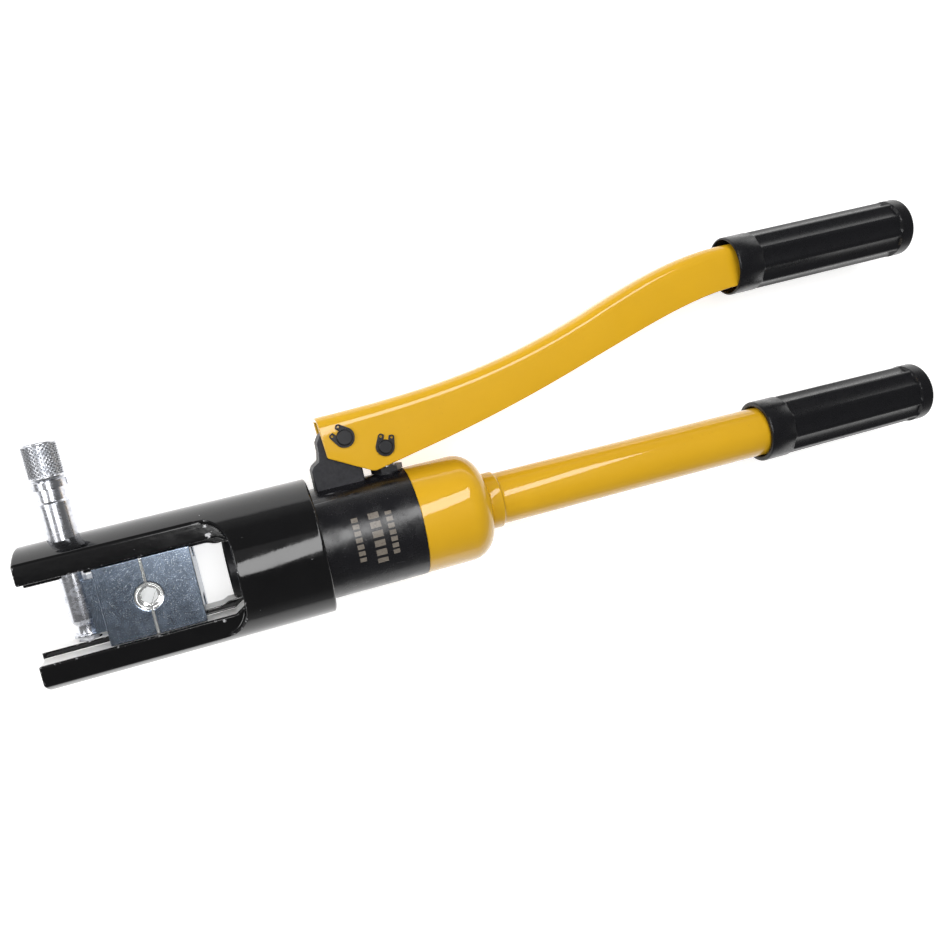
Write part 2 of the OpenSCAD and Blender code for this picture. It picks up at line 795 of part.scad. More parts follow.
fork_head();
fixed_die();
moving_die();
latch_pin();
latch_collar();
latch_knob();
detent_ball();
detent_spring();
detent_screw();
pump_body();
ram();
ram_seal();
ram_guide_ring();
ram_wiper();
return_spring();
head_o_ring();
pump_plunger();
plunger_gland();
plunger_seal();
inlet_ball();
inlet_spring();
inlet_seat();
outlet_ball();
outlet_spring();
outlet_retainer();
relief_ball();
relief_spring();
relief_screw();
reservoir_cap();
cap_o_ring();
oil_bladder();
release_spindle();
spindle_seal();
handle_collar();
handle_tube();
fixed_grip();
fulcrum_bracket();
lever_channel();
lever_grip();
fulcrum_pin();
fulcrum_clips();
wrist_pin();
wrist_clips();
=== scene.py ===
"""The looks of a hand-pumped hydraulic crimping tool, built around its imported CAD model.

Lengths are in millimetres up to the moment a mesh is made, in the frame of the CAD model:
+X runs back along the cylinder axis, +Y towards the pump lever, +Z square to the two handles.
"""

import itertools
import json
import math

import bmesh
import bpy
import numpy as np
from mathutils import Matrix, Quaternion, Vector


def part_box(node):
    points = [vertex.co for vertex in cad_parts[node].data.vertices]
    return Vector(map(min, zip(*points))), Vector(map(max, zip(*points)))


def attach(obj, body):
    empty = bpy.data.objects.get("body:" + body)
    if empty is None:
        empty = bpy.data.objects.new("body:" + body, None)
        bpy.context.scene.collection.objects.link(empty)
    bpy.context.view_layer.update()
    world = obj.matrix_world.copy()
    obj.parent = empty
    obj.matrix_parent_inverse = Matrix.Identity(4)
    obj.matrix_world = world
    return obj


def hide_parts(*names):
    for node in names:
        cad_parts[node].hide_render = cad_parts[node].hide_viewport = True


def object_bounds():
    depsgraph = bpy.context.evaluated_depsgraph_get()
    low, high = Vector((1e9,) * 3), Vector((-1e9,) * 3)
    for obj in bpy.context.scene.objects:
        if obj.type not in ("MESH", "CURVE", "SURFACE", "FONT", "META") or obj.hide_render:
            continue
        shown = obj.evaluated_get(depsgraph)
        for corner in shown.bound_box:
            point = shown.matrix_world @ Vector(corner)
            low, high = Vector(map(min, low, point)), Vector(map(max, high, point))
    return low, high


MM = 0.001

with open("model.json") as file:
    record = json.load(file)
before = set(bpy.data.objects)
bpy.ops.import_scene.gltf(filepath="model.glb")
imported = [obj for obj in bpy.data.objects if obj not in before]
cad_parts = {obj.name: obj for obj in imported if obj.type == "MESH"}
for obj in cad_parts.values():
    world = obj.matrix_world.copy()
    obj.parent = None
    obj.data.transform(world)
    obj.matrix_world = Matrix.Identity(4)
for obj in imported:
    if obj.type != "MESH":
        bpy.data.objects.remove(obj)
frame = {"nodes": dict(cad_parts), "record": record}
cad_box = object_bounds()


def node_box(name):
    """Lowest and highest corner of a CAD node, in millimetres."""
    low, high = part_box(name)
    return [c / MM for c in low], [c / MM for c in high]


# ---------- Sizes, in millimetres ----------

(TIP_X, _, _), (_, _, HEAD_R) = node_box("fork_head")
BODY_R = node_box("pump_body")[1][2]
SPLIT_X = (node_box("fixed_die")[1][0] + node_box("moving_die")[0][0]) / 2

# Head
SLOT_BACK_X = TIP_X + 93.2
LEDGE_Y, LEDGE_CUT = 18.8, (4.6, 3)
RIB_Y, RIB_Z, RIB_CUT = 15.5, 5.6, (6.5, 3)
CUT_EDGE_R = 0.4
RIB_BACK_X = SLOT_BACK_X - 3.6
FLAT_Z, FLAT_CORNER_R, FLAT_HALF = 18.7, 13.5, 28.5
CHAMBER_X = SLOT_BACK_X + 11.8
ROD_R, CHAMBER_R, SOCKET_R, SOCKET_LEN = 15.05, 20.5, 24.05, 22
LATCH_X, LATCH_R, FOOT_R, FOOT_Y = TIP_X + 21.3, 7, 5, -27
# Half the width of the strip that the dies rub. Painted highlights: bright metal spots on the flats by the
# slot's corners, standing in for reflections there: place, reach.
WEAR_Z = 17.6
PAINTED_GLINT_SPOTS = [
    ((-49.8, 21.2, FLAT_Z), 1.5),
    ((-50.5, 25.4, FLAT_Z), 0.9),
    ((-52.5, -20.3, FLAT_Z), 0.9),
]

# Dies
DIE_HALF_Y, DIE_HALF_Z = 18.3, 18.3
GROOVE_Y, GROOVE_Z = 15.2, 5.9
HEEL_Y, HEEL_Z = 13, 8
HEX_R = 4.0
LEAD_IN_R, LEAD_IN_DEPTH = 6.2, 1.8
DIE_BEVEL = 0.6

# Latch
LATCH_COLLAR_Y, KNOB_LOW_Y, KNOB_TOP_Y, KNOB_R = 57.4, 61.2, 79, 8

# Reservoir and fixed handle
CAP_FRONT_X, CAP_REAR_X, CAP_R, CAP_FILLET, CAP_WALL, CAP_HOLE_R = 49, 87, 27.8, 13, 3, 9
TUBE_R, TUBE_WALL, COLLAR_R, COLLAR_FRONT_X, COLLAR_REAR_X = 13.6, 2.2, 14.9, 87.3, 94.5
GRIP_FRONT_X, GRIP_REAR_X, GRIP_FRONT_R, GRIP_REAR_R = 251.5, 360.5, 17.1, 16.5

# Lever
CHANNEL_Z, PLATE_T, BEND_R, INNER_BEND_R = 10, 2.5, 6.5, 2
FULCRUM, FULCRUM_R = (22.7, 50.3), 4
WRIST, WRIST_R = (41.4, 41.3), 3.6
PIN_END_Z, CLIP_LOW_Z, CLIP_T, CLIP_GROOVE = CHANNEL_Z + 2.4, CHANNEL_Z + 0.05, 1, 0.5
MOUTH, LEVER_SLOPE, LEVER_GRIP_LEN, LEVER_GRIP_R = (249.2, 93.9), 1.3, 114, 15.8


# ---------- Outlines ----------


def corner_arc(before, corner, after, radius, steps):
    """The arc of that radius which rounds one corner of an outline."""
    before, corner, after = (np.array(p[:2], float) for p in (before, corner, after))
    to_before = (before - corner) / np.linalg.norm(before - corner)
    to_after = (after - corner) / np.linalg.norm(after - corner)
    half = math.acos(np.clip(to_before @ to_after, -1, 1)) / 2
    if abs(half - math.pi / 2) < 1e-3:
        return [tuple(corner)] * (steps + 1)
    reach = radius / math.tan(half)
    bisector = (to_before + to_after) / np.linalg.norm(to_before + to_after)
    centre = corner + bisector * radius / math.sin(half)
    start, end = corner + to_before * reach - centre, corner + to_after * reach - centre
    turn = math.atan2(start[0] * end[1] - start[1] * end[0], start @ end)
    points = []
    for i in range(steps + 1):
        c, s = math.cos(turn * i / steps), math.sin(turn * i / steps)
        points.append(tuple(centre + [start[0] * c - start[1] * s, start[0] * s + start[1] * c]))
    return points


def rounded(outline, steps, closed=False):
    """Rounds the corners of an outline: a point (a, b, r) gets an arc of radius r, in that many steps."""
    points = []
    count = len(outline)
    for i, p in enumerate(outline):
        if len(p) < 3 or (not closed and i in (0, count - 1)):
            points.append(tuple(p[:2]))
            continue
        points += corner_arc(outline[i - 1], p, outline[(i + 1) % count], p[2], steps)
    return points


def bezier(p):
    """25 points along a cubic curve."""
    p = np.array(p, float)
    t = np.linspace(0, 1, 25)[:, None]
    return (1 - t) ** 3 * p[0] + 3 * t * (1 - t) ** 2 * p[1] + 3 * t**2 * (1 - t) * p[2] + t**3 * p[3]


# ---------- Meshes ----------


def piece(name, vertices, faces, body, slot, node, sharp_deg=0, normals=None, finish=None):
    """Makes one piece from vertices in millimetres, and hides the CAD node that it replaces.

    Edges are sharp above sharp_deg, unless there are normals. Its finish is its slot's, unless named."""
    mesh = bpy.data.meshes.new(name)
    mesh.from_pydata([tuple(v * MM for v in p) for p in vertices], [], [tuple(f) for f in faces])
    tidy = bmesh.new()
    tidy.from_mesh(mesh)
    bmesh.ops.remove_doubles(tidy, verts=tidy.verts, dist=1e-7)
    bmesh.ops.recalc_face_normals(tidy, faces=tidy.faces)
    tidy.to_mesh(mesh)
    tidy.free()
    mesh.shade_smooth()
    if normals is None:
        mesh.set_sharp_from_angle(angle=math.radians(sharp_deg))
    else:
        mesh.normals_split_custom_set_from_vertices([tuple(n) for n in normals])
    mesh.materials.append(FINISHES[finish or slot])
    made = bpy.data.objects.new(name, mesh)
    bpy.context.scene.collection.objects.link(made)
    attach(made, body)
    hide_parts(node)


# Where (along, side, up) of a turned part go, for each axis that it may be turned about.
AXIS_TURNS = {
    "x": lambda along, side, up: (along, side, up),
    "y": lambda along, side, up: (up, along, side),
    "z": lambda along, side, up: (side, up, along),
}


def turned(outline, axis="x", centre=(0, 0, 0), steps=128, radius=None):
    """Vertices and faces of an (along, radius) outline turned about an axis through centre.

    radius(along, r, angle) may change the radius from place to place, for flutes and knurls."""
    place = AXIS_TURNS[axis]
    vertices, rings = [], []
    for along, r in outline:
        if r < 1e-6:
            rings.append([len(vertices)] * steps)
            vertices.append(place(along, 0, 0))
            continue
        rings.append(list(range(len(vertices), len(vertices) + steps)))
        for j in range(steps):
            angle = 2 * math.pi * j / steps
            reach = radius(along, r, angle) if radius else r
            vertices.append(place(along, reach * math.cos(angle), reach * math.sin(angle)))
    faces = []
    for a, b in zip(rings, rings[1:]):
        for j in range(steps):
            k = (j + 1) % steps
            loop = list(dict.fromkeys([a[j], a[k], b[k], b[j]]))
            if len(loop) > 2:
                faces.append(loop)
    return [(centre[0] + x, centre[1] + y, centre[2] + z) for x, y, z in vertices], faces


def surface_of(field, low, high, cell):
    """Vertices, four-sided faces and normals of the surface where field(x, y, z) is 0.

    field is negative inside the solid. Each cell of a grid that the surface crosses gets one vertex,
    which is then moved onto the surface."""
    axes = [np.arange(a - 1.5 * cell, b + 2.5 * cell, cell) for a, b in zip(low, high)]
    inside = field(*np.meshgrid(*axes, indexing="ij")) < 0
    cells = tuple(n - 1 for n in inside.shape)
    mixed = np.zeros(cells, bool)
    first = inside[: cells[0], : cells[1], : cells[2]]
    for i, j, k in itertools.product((0, 1), repeat=3):
        mixed |= first != inside[i : cells[0] + i, j : cells[1] + j, k : cells[2] + k]
    index = np.full(cells, -1)
    index[mixed] = np.arange(mixed.sum())
    points = np.stack([axes[a][c] + cell / 2 for a, c in enumerate(np.nonzero(mixed))], 1)

    faces = []
    for axis in range(3):
        step = np.zeros(3, int)
        step[axis] = 1
        sides = [np.eye(3, dtype=int)[a] for a in range(3) if a != axis]
        here = inside.take(range(cells[axis]), axis)
        crossing = np.argwhere(here != inside.take(range(1, cells[axis] + 1), axis))
        inner = np.ones(len(crossing), bool)
        for side in sides:
            a = int(np.argmax(side))
            inner &= (crossing[:, a] > 0) & (crossing[:, a] < cells[a])
        crossing = crossing[inner]
        corners = [crossing - sides[0] - sides[1], crossing - sides[1], crossing, crossing - sides[0]]
        quads = np.stack([index[tuple(c.T)] for c in corners], 1)
        outward = here[tuple(crossing.T)]
        if axis == 1:
            outward = ~outward
        quads[~outward] = quads[~outward][:, ::-1]
        faces.append(quads)
    faces = np.concatenate(faces)

    def slope_at(p):
        """The field's slope at each point, by small steps either way."""
        h = cell * 0.02
        return np.stack([(field(*(p + h * e).T) - field(*(p - h * e).T)) / (2 * h) for e in np.eye(3)], 1)

    def settle(p, rounds):
        """Moves each point along the field's slope until the field is 0 there."""
        for _ in range(rounds):
            value, slope = field(*p.T), slope_at(p)
            shift = slope * (value / np.maximum((slope**2).sum(1), 0.05))[:, None]
            p = p - np.clip(shift, -cell, cell)
        return p

    points = settle(points, 4)
    # Twice, every point moves half way to the middle of its neighbours, and back onto the surface.
    for _ in range(2):
        total = np.zeros_like(points)
        shares = np.zeros(len(points))
        for a in range(4):
            np.add.at(total, faces[:, a], points[faces[:, (a + 1) % 4]] + points[faces[:, a - 1]])
            np.add.at(shares, faces[:, a], 2)
        points = settle(0.5 * points + 0.5 * total / shares[:, None], 2)
    normals = slope_at(points)
    return points, faces, normals / np.maximum(np.linalg.norm(normals, axis=1), 1e-6)[:, None]


# ---------- Solids as fields, negative inside ----------


def both(a, b, r=0.0):
    """What is inside a and inside b, with the edge between them rounded to radius r."""
    if r <= 0:
        return np.maximum(a, b)
    outside = np.hypot(np.maximum(a + r, 0), np.maximum(b + r, 0))
    return np.minimum(np.maximum(a, b), -r) + outside


def either(a, b, r=0.0):
    """What is inside a or b, with the inner corner between them filled to radius r."""
    return -both(-a, -b, r)


def less(a, b, r=0.0):
    """What is inside a and not inside b."""
    return both(a, -b, r)


def cut_slot_field(x, y, back_x, half, cut):
    """A slot that is open at the tip, with its two inner corners cut off by (along x, along y)."""
    across, along = np.abs(y) - half, x - back_x
    corner = (across * cut[0] + along * cut[1] + cut[0] * cut[1]) / math.hypot(*cut)
    return both(both(across, along), corner, CUT_EDGE_R)


def slot_field(x, y, back_x, half, corner_r):
    """A slot that is open at the tip, with two round inner corners."""
    across, along = np.abs(y) - (half - corner_r), x - (back_x - corner_r)
    outside = np.hypot(np.maximum(across, 0), np.maximum(along, 0))
    return outside + np.minimum(np.maximum(across, along), 0) - corner_r


def bar_field(a, b, r, along, start, end):
    """A round bar of radius r about the line a = b = 0."""
    return both(np.hypot(a, b) - r, np.abs(along - (start + end) / 2) - (end - start) / 2)


def polygon_field(x, y, points):
    """Distance to a closed outline, negative inside."""
    nearest = np.full(np.shape(x), 1e9)
    crossings = np.zeros(np.shape(x), int)
    for (ax, ay), (bx, by) in zip(points, points[1:] + points[:1]):
        dx, dy = bx - ax, by - ay
        if abs(dx) + abs(dy) < 1e-9:
            continue
        t = np.clip(((x - ax) * dx + (y - ay) * dy) / (dx * dx + dy * dy), 0, 1)
        nearest = np.minimum(nearest, np.hypot(x - ax - t * dx, y - ay - t * dy))
        spans = (ay > y) != (by > y)
        if abs(dy) > 1e-9:
            crossings += spans & (x < ax + (y - ay) * dx / dy)
    return np.where(crossings % 2 == 1, -nearest, nearest)


# ---------- Finishes ----------


# Rows of printed bars on the pump body: x from and to, degrees from and to, and the bars' spacing.
PRINT_ROWS = [(15.0, 18.2, -18, 27, 3.3), (23.4, 28.6, -24, 28, 4.6), (31.6, 34.8, -18, 26, 3.3)]


class Finish:
    """Builds one procedural material around a Principled shader."""

    def __init__(self, name, **shader):
        self.material = bpy.data.materials.new(name)
        self.material.use_nodes = True
        self.tree = self.material.node_tree
        self.shader = self.tree.nodes["Principled BSDF"]
        for socket, value in shader.items():
            self.shader.inputs[socket.replace("_", " ")].default_value = value
        self.where = self.node("ShaderNodeTexCoord").outputs["Object"]

    def node(self, kind, inputs=None, **settings):
        """Adds a shader node. Each input is another node's socket or a plain value."""
        made = self.tree.nodes.new(kind)
        for key, value in settings.items():
            setattr(made, key, value)
        for key, value in (inputs or {}).items():
            if isinstance(value, bpy.types.NodeSocket):
                self.tree.links.new(value, made.inputs[key])
            else:
                made.inputs[key].default_value = value
        return made

    def stretched(self, x, y, z):
        """Object coordinates scaled along each axis."""
        return self.node("ShaderNodeMapping", {"Vector": self.where, "Scale": (x, y, z)}).outputs[0]

    def noise(self, size_mm, detail, vector=None):
        """A cloud texture whose features are about that wide."""
        inputs = {"Scale": 1 / (size_mm * MM), "Detail": detail, "Roughness": 0.55}
        inputs["Vector"] = vector or self.where
        return self.node("ShaderNodeTexNoise", inputs).outputs["Fac"]

    def cells(self, size_mm):
        """A texture of small cells, each of its own random colour."""
        inputs = {"Vector": self.where, "Scale": 1 / (size_mm * MM)}
        return self.node("ShaderNodeTexVoronoi", inputs).outputs["Color"]

    def steps(self, value, low, high, start=0.0, end=1.0):
        """Maps value from low..high to start..end, and no further."""
        inputs = {"Value": value, "From Min": low, "From Max": high, "To Min": start, "To Max": end}
        return self.node("ShaderNodeMapRange", inputs, clamp=True).outputs["Result"]

    def maths(self, operation, a, b=0.0):
        """One sum on two values."""
        return self.node("ShaderNodeMath", {0: a, 1: b}, operation=operation).outputs[0]

    def product(self, first, *others):
        """All of the values multiplied together."""
        for other in others:
            first = self.maths("MULTIPLY", first, other)
        return first

    def blend(self, share, a, b):
        """Colour a where share is 0, and b where it is 1."""
        made = self.node("ShaderNodeMix", {"Factor": share}, data_type="RGBA")
        for key, value in (("A", a), ("B", b)):
            socket = [s for s in made.inputs if s.name == key and s.type == "RGBA"][0]
            if isinstance(value, bpy.types.NodeSocket):
                self.tree.links.new(value, socket)
            else:
                socket.default_value = (*value, 1)
        return [s for s in made.outputs if s.type == "RGBA"][0]

    def axis(self, name):
        """One object coordinate, in metres."""
        return self.node("ShaderNodeSeparateXYZ", {0: self.where}).outputs[name]

    def facing(self, name):
        """One component of the surface's normal."""
        normal = self.node("ShaderNodeNewGeometry").outputs["Normal"]
        return self.node("ShaderNodeSeparateXYZ", {0: normal}).outputs[name]

    def edges(self, low, high):
        """1 along edges that stick out, from the shape of a fine mesh."""
        pointed = self.node("ShaderNodeNewGeometry").outputs["Pointiness"]
        return self.steps(pointed, low, high)

    def rims(self, reach_mm, low=0.03, high=0.25):
        """1 within about reach_mm of any edge, on a mesh of any fineness."""
        softened = self.node("ShaderNodeBevel", {"Radius": reach_mm * MM}, samples=6).outputs[0]
        exact = self.node("ShaderNodeNewGeometry").outputs["Normal"]
        same = self.node("ShaderNodeVectorMath", {0: softened, 1: exact}, operation="DOT_PRODUCT")
        return self.steps(self.maths("SUBTRACT", 1.0, same.outputs["Value"]), low, high)

    def patch(self, place_mm, reach_mm):
        """1 on one ragged spot about a place."""
        away = self.node("ShaderNodeVectorMath", {0: self.where, 1: [c * MM for c in place_mm]},
                         operation="DISTANCE").outputs["Value"]
        ragged = self.product(self.noise(reach_mm * 0.8, 4), reach_mm * 3 * MM)
        return self.steps(self.maths("ADD", away, ragged), reach_mm * 2.2 * MM, reach_mm * 2.35 * MM, 1, 0)

    def bump(self, height, depth_mm, normal=None):
        """A normal for relief of that depth, on top of another relief if there is one."""
        inputs = {"Height": height, "Distance": depth_mm * MM, "Strength": 1.0}
        if normal:
            inputs["Normal"] = normal
        return self.node("ShaderNodeBump", inputs).outputs["Normal"]

    def drive(self, **sockets):
        """Links values to the shader's sockets, and gives the finished material."""
        for socket, value in sockets.items():
            self.tree.links.new(value, self.shader.inputs[socket.replace("_", " ")])
        return self.material


def smudges(finish, low, high, size_mm=14):
    """Roughness that wanders between low and high, with fine dust on top."""
    broad = finish.steps(finish.noise(size_mm, 4), 0.35, 0.65, low, high)
    dust = finish.steps(finish.noise(0.5, 2), 0.62, 0.75, 0, (high - low) * 0.6)
    return finish.maths("ADD", broad, dust)


def scratches(finish, size_mm):
    """Sparse fine lines running along the axis: 1 on a line."""
    lines = finish.noise(size_mm, 2, finish.stretched(0.06, 1, 1))
    ridge = finish.maths("SUBTRACT", 1.0, finish.maths("ABSOLUTE", finish.maths("SUBTRACT", lines, 0.5)))
    few = finish.steps(finish.noise(20, 2), 0.58, 0.66)
    return finish.product(finish.steps(ridge, 0.985, 1.0), few)


def head_enamel():
    """Gloss black enamel over steel, worn to the metal where the dies slide and where edges are knocked, with
    painted highlights as bright metal spots by the slot's corners.
    """
    f = Finish("head_enamel")
    x, y = f.axis("X"), f.axis("Y")
    between_ledges = f.maths("LESS_THAN", f.maths("ABSOLUTE", y), (LEDGE_Y + 0.6) * MM)
    before_back = f.maths("LESS_THAN", x, (SLOT_BACK_X + 0.4) * MM)
    on_wall = f.steps(f.maths("ABSOLUTE", f.facing("Y")), 0.55, 0.65)
    near_middle = f.maths("LESS_THAN", f.maths("ABSOLUTE", f.axis("Z")), WEAR_Z * MM)
    streaks = f.steps(f.noise(3, 4, f.stretched(0.3, 1, 1)), 0.20, 0.26)
    worn = f.product(between_ledges, before_back, on_wall, near_middle, streaks)
    chips = f.product(f.edges(0.520, 0.545), f.steps(f.noise(1.6, 4), 0.60, 0.64))
    nicks = f.steps(f.noise(1.3, 1), 0.80, 0.82)
    metal = f.maths("MAXIMUM", chips, nicks)
    # Painted highlights: bright metal spots by the slot's corners stand in for reflections there, on top of
    # the real chips and nicks.
    for place, reach in PAINTED_GLINT_SPOTS:
        metal = f.maths("MAXIMUM", metal, f.patch(place, reach))
    # Wear and chips, together with the painted highlight spots, go rougher and sunken.
    bare_or_glint = f.maths("MAXIMUM", metal, worn)
    dust = f.blend(f.noise(9, 4), (0.0028, 0.0028, 0.0032), (0.0060, 0.0060, 0.0064))
    # The chips, nicks and painted highlight spots take a grey metal colour and some shine.
    colour = f.blend(metal, dust, (0.42, 0.42, 0.43))
    colour = f.blend(worn, colour, (0.94, 0.93, 0.91))
    lines = scratches(f, 9)
    rough = f.maths("ADD", smudges(f, 0.06, 0.12), f.product(lines, 0.10))
    rough = f.maths("ADD", rough, f.product(bare_or_glint, 0.30))
    relief = f.bump(f.noise(2.6, 2), 0.012)
    relief = f.bump(f.noise(9, 2), 0.03, relief)
    relief = f.bump(f.maths("SUBTRACT", 1.0, bare_or_glint), 0.05, relief)
    relief = f.bump(f.maths("SUBTRACT", 1.0, lines), 0.003, relief)
    shine = f.product(metal, 0.7)
    return f.drive(Base_Color=colour, Metallic=shine, Roughness=rough, Normal=relief)


def body_enamel():
    """Satin black enamel with fine texture, a few rubbed spots and three rows of plain printed bars."""
    f = Finish("body_enamel")
    colour = f.blend(f.noise(7, 4), (0.0055, 0.0055, 0.0068), (0.0095, 0.0095, 0.0115))
    specks = f.steps(f.noise(1.0, 1), 0.80, 0.83)
    lines = scratches(f, 7)
    colour = f.blend(f.maths("MAXIMUM", specks, lines), colour, (0.14, 0.14, 0.145))
    x = f.axis("X")
    around = f.maths("ARCTAN2", f.axis("Y"), f.axis("Z"))
    print_mask = 0.0
    for low_x, high_x, low_deg, high_deg, bar_mm in PRINT_ROWS:
        bars = f.maths("FRACT", f.product(around, BODY_R / bar_mm))
        inside = f.product(
            f.maths("GREATER_THAN", x, low_x * MM),
            f.maths("LESS_THAN", x, high_x * MM),
            f.maths("GREATER_THAN", around, math.radians(low_deg)),
            f.maths("LESS_THAN", around, math.radians(high_deg)),
            f.maths("GREATER_THAN", bars, 0.32),
        )
        print_mask = f.maths("MAXIMUM", inside, print_mask)
    worn_print = f.product(print_mask, f.steps(f.noise(0.7, 3), 0.30, 0.45, 0.35, 0.9))
    colour = f.blend(worn_print, colour, (0.20, 0.175, 0.145))
    rough = f.maths("ADD", smudges(f, 0.15, 0.30, 8), f.product(lines, 0.15))
    relief = f.bump(f.noise(0.9, 3), 0.010)
    relief = f.bump(f.noise(4, 3), 0.045, relief)
    return f.drive(Base_Color=colour, Roughness=rough, Normal=relief)


def yellow_paint():
    """Gloss yellow paint: a clear skin with slight orange peel, thin and pale in places at the edges."""
    f = Finish("yellow_paint", Coat_Weight=1.0, Coat_Roughness=0.045, Specular_IOR_Level=0.12)
    tone = f.blend(f.noise(26, 3), (0.655, 0.362, 0.010), (0.715, 0.402, 0.013))
    grime = f.steps(f.noise(2.2, 4), 0.66, 0.82, 0, 0.3)
    tone = f.blend(grime, tone, (0.40, 0.20, 0.012))
    edge = f.product(f.rims(0.5, 0.02, 0.2), f.steps(f.noise(3, 3), 0.45, 0.65, 0, 0.7))
    tone = f.blend(edge, tone, (0.80, 0.58, 0.18))
    relief = f.bump(f.noise(3.0, 2), 0.014)
    relief = f.bump(f.noise(11, 2), 0.07, relief)
    f.tree.links.new(relief, f.shader.inputs["Coat Normal"])
    return f.drive(Base_Color=tone, Roughness=smudges(f, 0.35, 0.55, 18), Normal=relief)


def zinc_steel():
    """Zinc plate: bluish, with fine crystals and bright specks; the cavity and split are polished."""
    f = Finish("zinc_steel")
    grain = f.node("ShaderNodeSeparateColor", {0: f.cells(0.55)}).outputs[0]
    cloud = f.noise(5, 4)
    tone = f.blend(f.steps(cloud, 0.3, 0.7), (0.15, 0.19, 0.25), (0.21, 0.26, 0.34))
    tone = f.blend(f.product(grain, 0.14), tone, (0.60, 0.67, 0.76))
    specks = f.steps(f.noise(0.45, 0), 0.65, 0.76, 0, 0.55)
    tone = f.blend(specks, tone, (0.80, 0.84, 0.88))
    away_x = f.maths("ABSOLUTE", f.maths("SUBTRACT", f.axis("X"), SPLIT_X * MM))
    offset = f.node("ShaderNodeCombineXYZ", {"X": away_x, "Y": f.axis("Y")}).outputs[0]
    reach = f.node("ShaderNodeVectorMath", {0: offset}, operation="LENGTH").outputs["Value"]
    cavity = f.steps(reach, (LEAD_IN_R + 0.1) * MM, (LEAD_IN_R + 0.5) * MM, 1, 0)
    split = f.steps(away_x, (DIE_BEVEL + 0.1) * MM, (DIE_BEVEL + 0.3) * MM, 1, 0)
    sloped = f.steps(f.maths("ABSOLUTE", f.facing("Z")), 0.88, 0.96, 1, 0)
    polished = f.maths("MAXIMUM", cavity, f.product(split, sloped))
    tone = f.blend(polished, tone, (0.95, 0.96, 0.95))
    rough = f.maths("ADD", f.steps(cloud, 0.3, 0.7, 0.19, 0.22), f.product(grain, 0.03))
    rough = f.product(rough, f.steps(polished, 0, 1, 1, 0.6))
    metal = f.steps(polished, 0, 1, 1, 0.85)
    relief = f.bump(f.noise(2.5, 3), 0.0012)
    return f.drive(Base_Color=tone, Metallic=metal, Roughness=rough, Normal=relief)


def plated(name, light, dark, rough_low, rough_high, streak_mm=1.2, relief_mm=0.002):
    """Bright turned metal, with fine tool marks and small stains."""
    f = Finish(name, Metallic=1.0)
    marks = f.noise(streak_mm, 3, f.stretched(0.35, 3, 0.35))
    stains = f.steps(f.noise(3.0, 4), 0.48, 0.62)
    tone = f.blend(f.product(stains, 0.5), light, dark)
    tone = f.blend(f.steps(marks, 0.55, 0.75, 0, 0.4), tone, dark)
    rough = f.maths("ADD", f.steps(marks, 0.3, 0.7, rough_low, rough_high), f.product(stains, 0.10))
    relief = f.bump(marks, relief_mm)
    relief = f.bump(f.noise(0.6, 3), relief_mm * 0.6, relief)
    return f.drive(Base_Color=tone, Roughness=rough, Normal=relief)


def dark_metal(name, dark, light, rough_low, rough_high, grain_mm, depth_mm, metallic, edge):
    """Blackened or cast steel, rubbed brighter along its edges."""
    f = Finish(name, Metallic=metallic)
    tone = f.blend(f.noise(grain_mm * 2.5, 4), dark, light)
    rubbed = f.product(f.rims(0.35), f.steps(f.noise(1.5, 3), 0.40, 0.65))
    tone = f.blend(rubbed, tone, (edge, edge, edge * 1.05))
    rough = f.steps(f.noise(grain_mm * 1.5, 4), 0.35, 0.65, rough_low, rough_high)
    relief = f.bump(f.noise(grain_mm, 4), depth_mm)
    return f.drive(Base_Color=tone, Roughness=rough, Normal=relief)


def soft_part(name, dark, light, rough_low, rough_high, grain_mm, depth_mm):
    """Rubber or moulded plastic, with a fine mould texture."""
    f = Finish(name, Specular_IOR_Level=0.35)
    tone = f.blend(f.noise(grain_mm * 8, 3), dark, light)
    rough = f.steps(f.noise(grain_mm * 12, 3), 0.35, 0.65, rough_low, rough_high)
    relief = f.bump(f.noise(grain_mm, 3), depth_mm)
    return f.drive(Base_Color=tone, Roughness=rough, Normal=relief)


# What plated takes: two tones, roughness from and to, and for some the marks' size and depth.
PLATED = {
    "chrome_pin": ((0.70, 0.71, 0.75), (0.40, 0.42, 0.48), 0.15, 0.26),
    "knurled_chrome": ((0.76, 0.77, 0.80), (0.52, 0.54, 0.59), 0.24, 0.32, 3, 0.0005),
    "ground_steel": ((0.62, 0.63, 0.66), (0.40, 0.41, 0.44), 0.18, 0.32, 0.8),
    "spring_steel": ((0.42, 0.43, 0.46), (0.25, 0.26, 0.28), 0.25, 0.40, 0.7),
    "brass": ((0.78, 0.56, 0.24), (0.48, 0.31, 0.11), 0.20, 0.35, 0.8),
}
# What dark_metal takes: two tones, roughness from and to, grain size and depth, metallic, edge tone.
DARK_METALS = {
    "dark_steel": ((0.008, 0.008, 0.009), (0.020, 0.020, 0.023), 0.30, 0.45, 0.5, 0.008, 0.4, 0.09),
    "cast_steel": ((0.010, 0.010, 0.0125), (0.024, 0.024, 0.029), 0.45, 0.62, 0.9, 0.045, 0.3, 0.18),
}
# What soft_part takes: two tones, roughness from and to, and the texture's size and depth.
SOFT_PARTS = {
    "rubber": ((0.012, 0.012, 0.012), (0.024, 0.024, 0.023), 0.50, 0.70, 0.4, 0.01),
    "nylon": ((0.60, 0.56, 0.44), (0.70, 0.66, 0.54), 0.35, 0.50, 0.5, 0.008),
    "grip_plastic": ((0.0060, 0.0060, 0.0072), (0.0085, 0.0085, 0.0100), 0.24, 0.32, 0.35, 0.003),
}

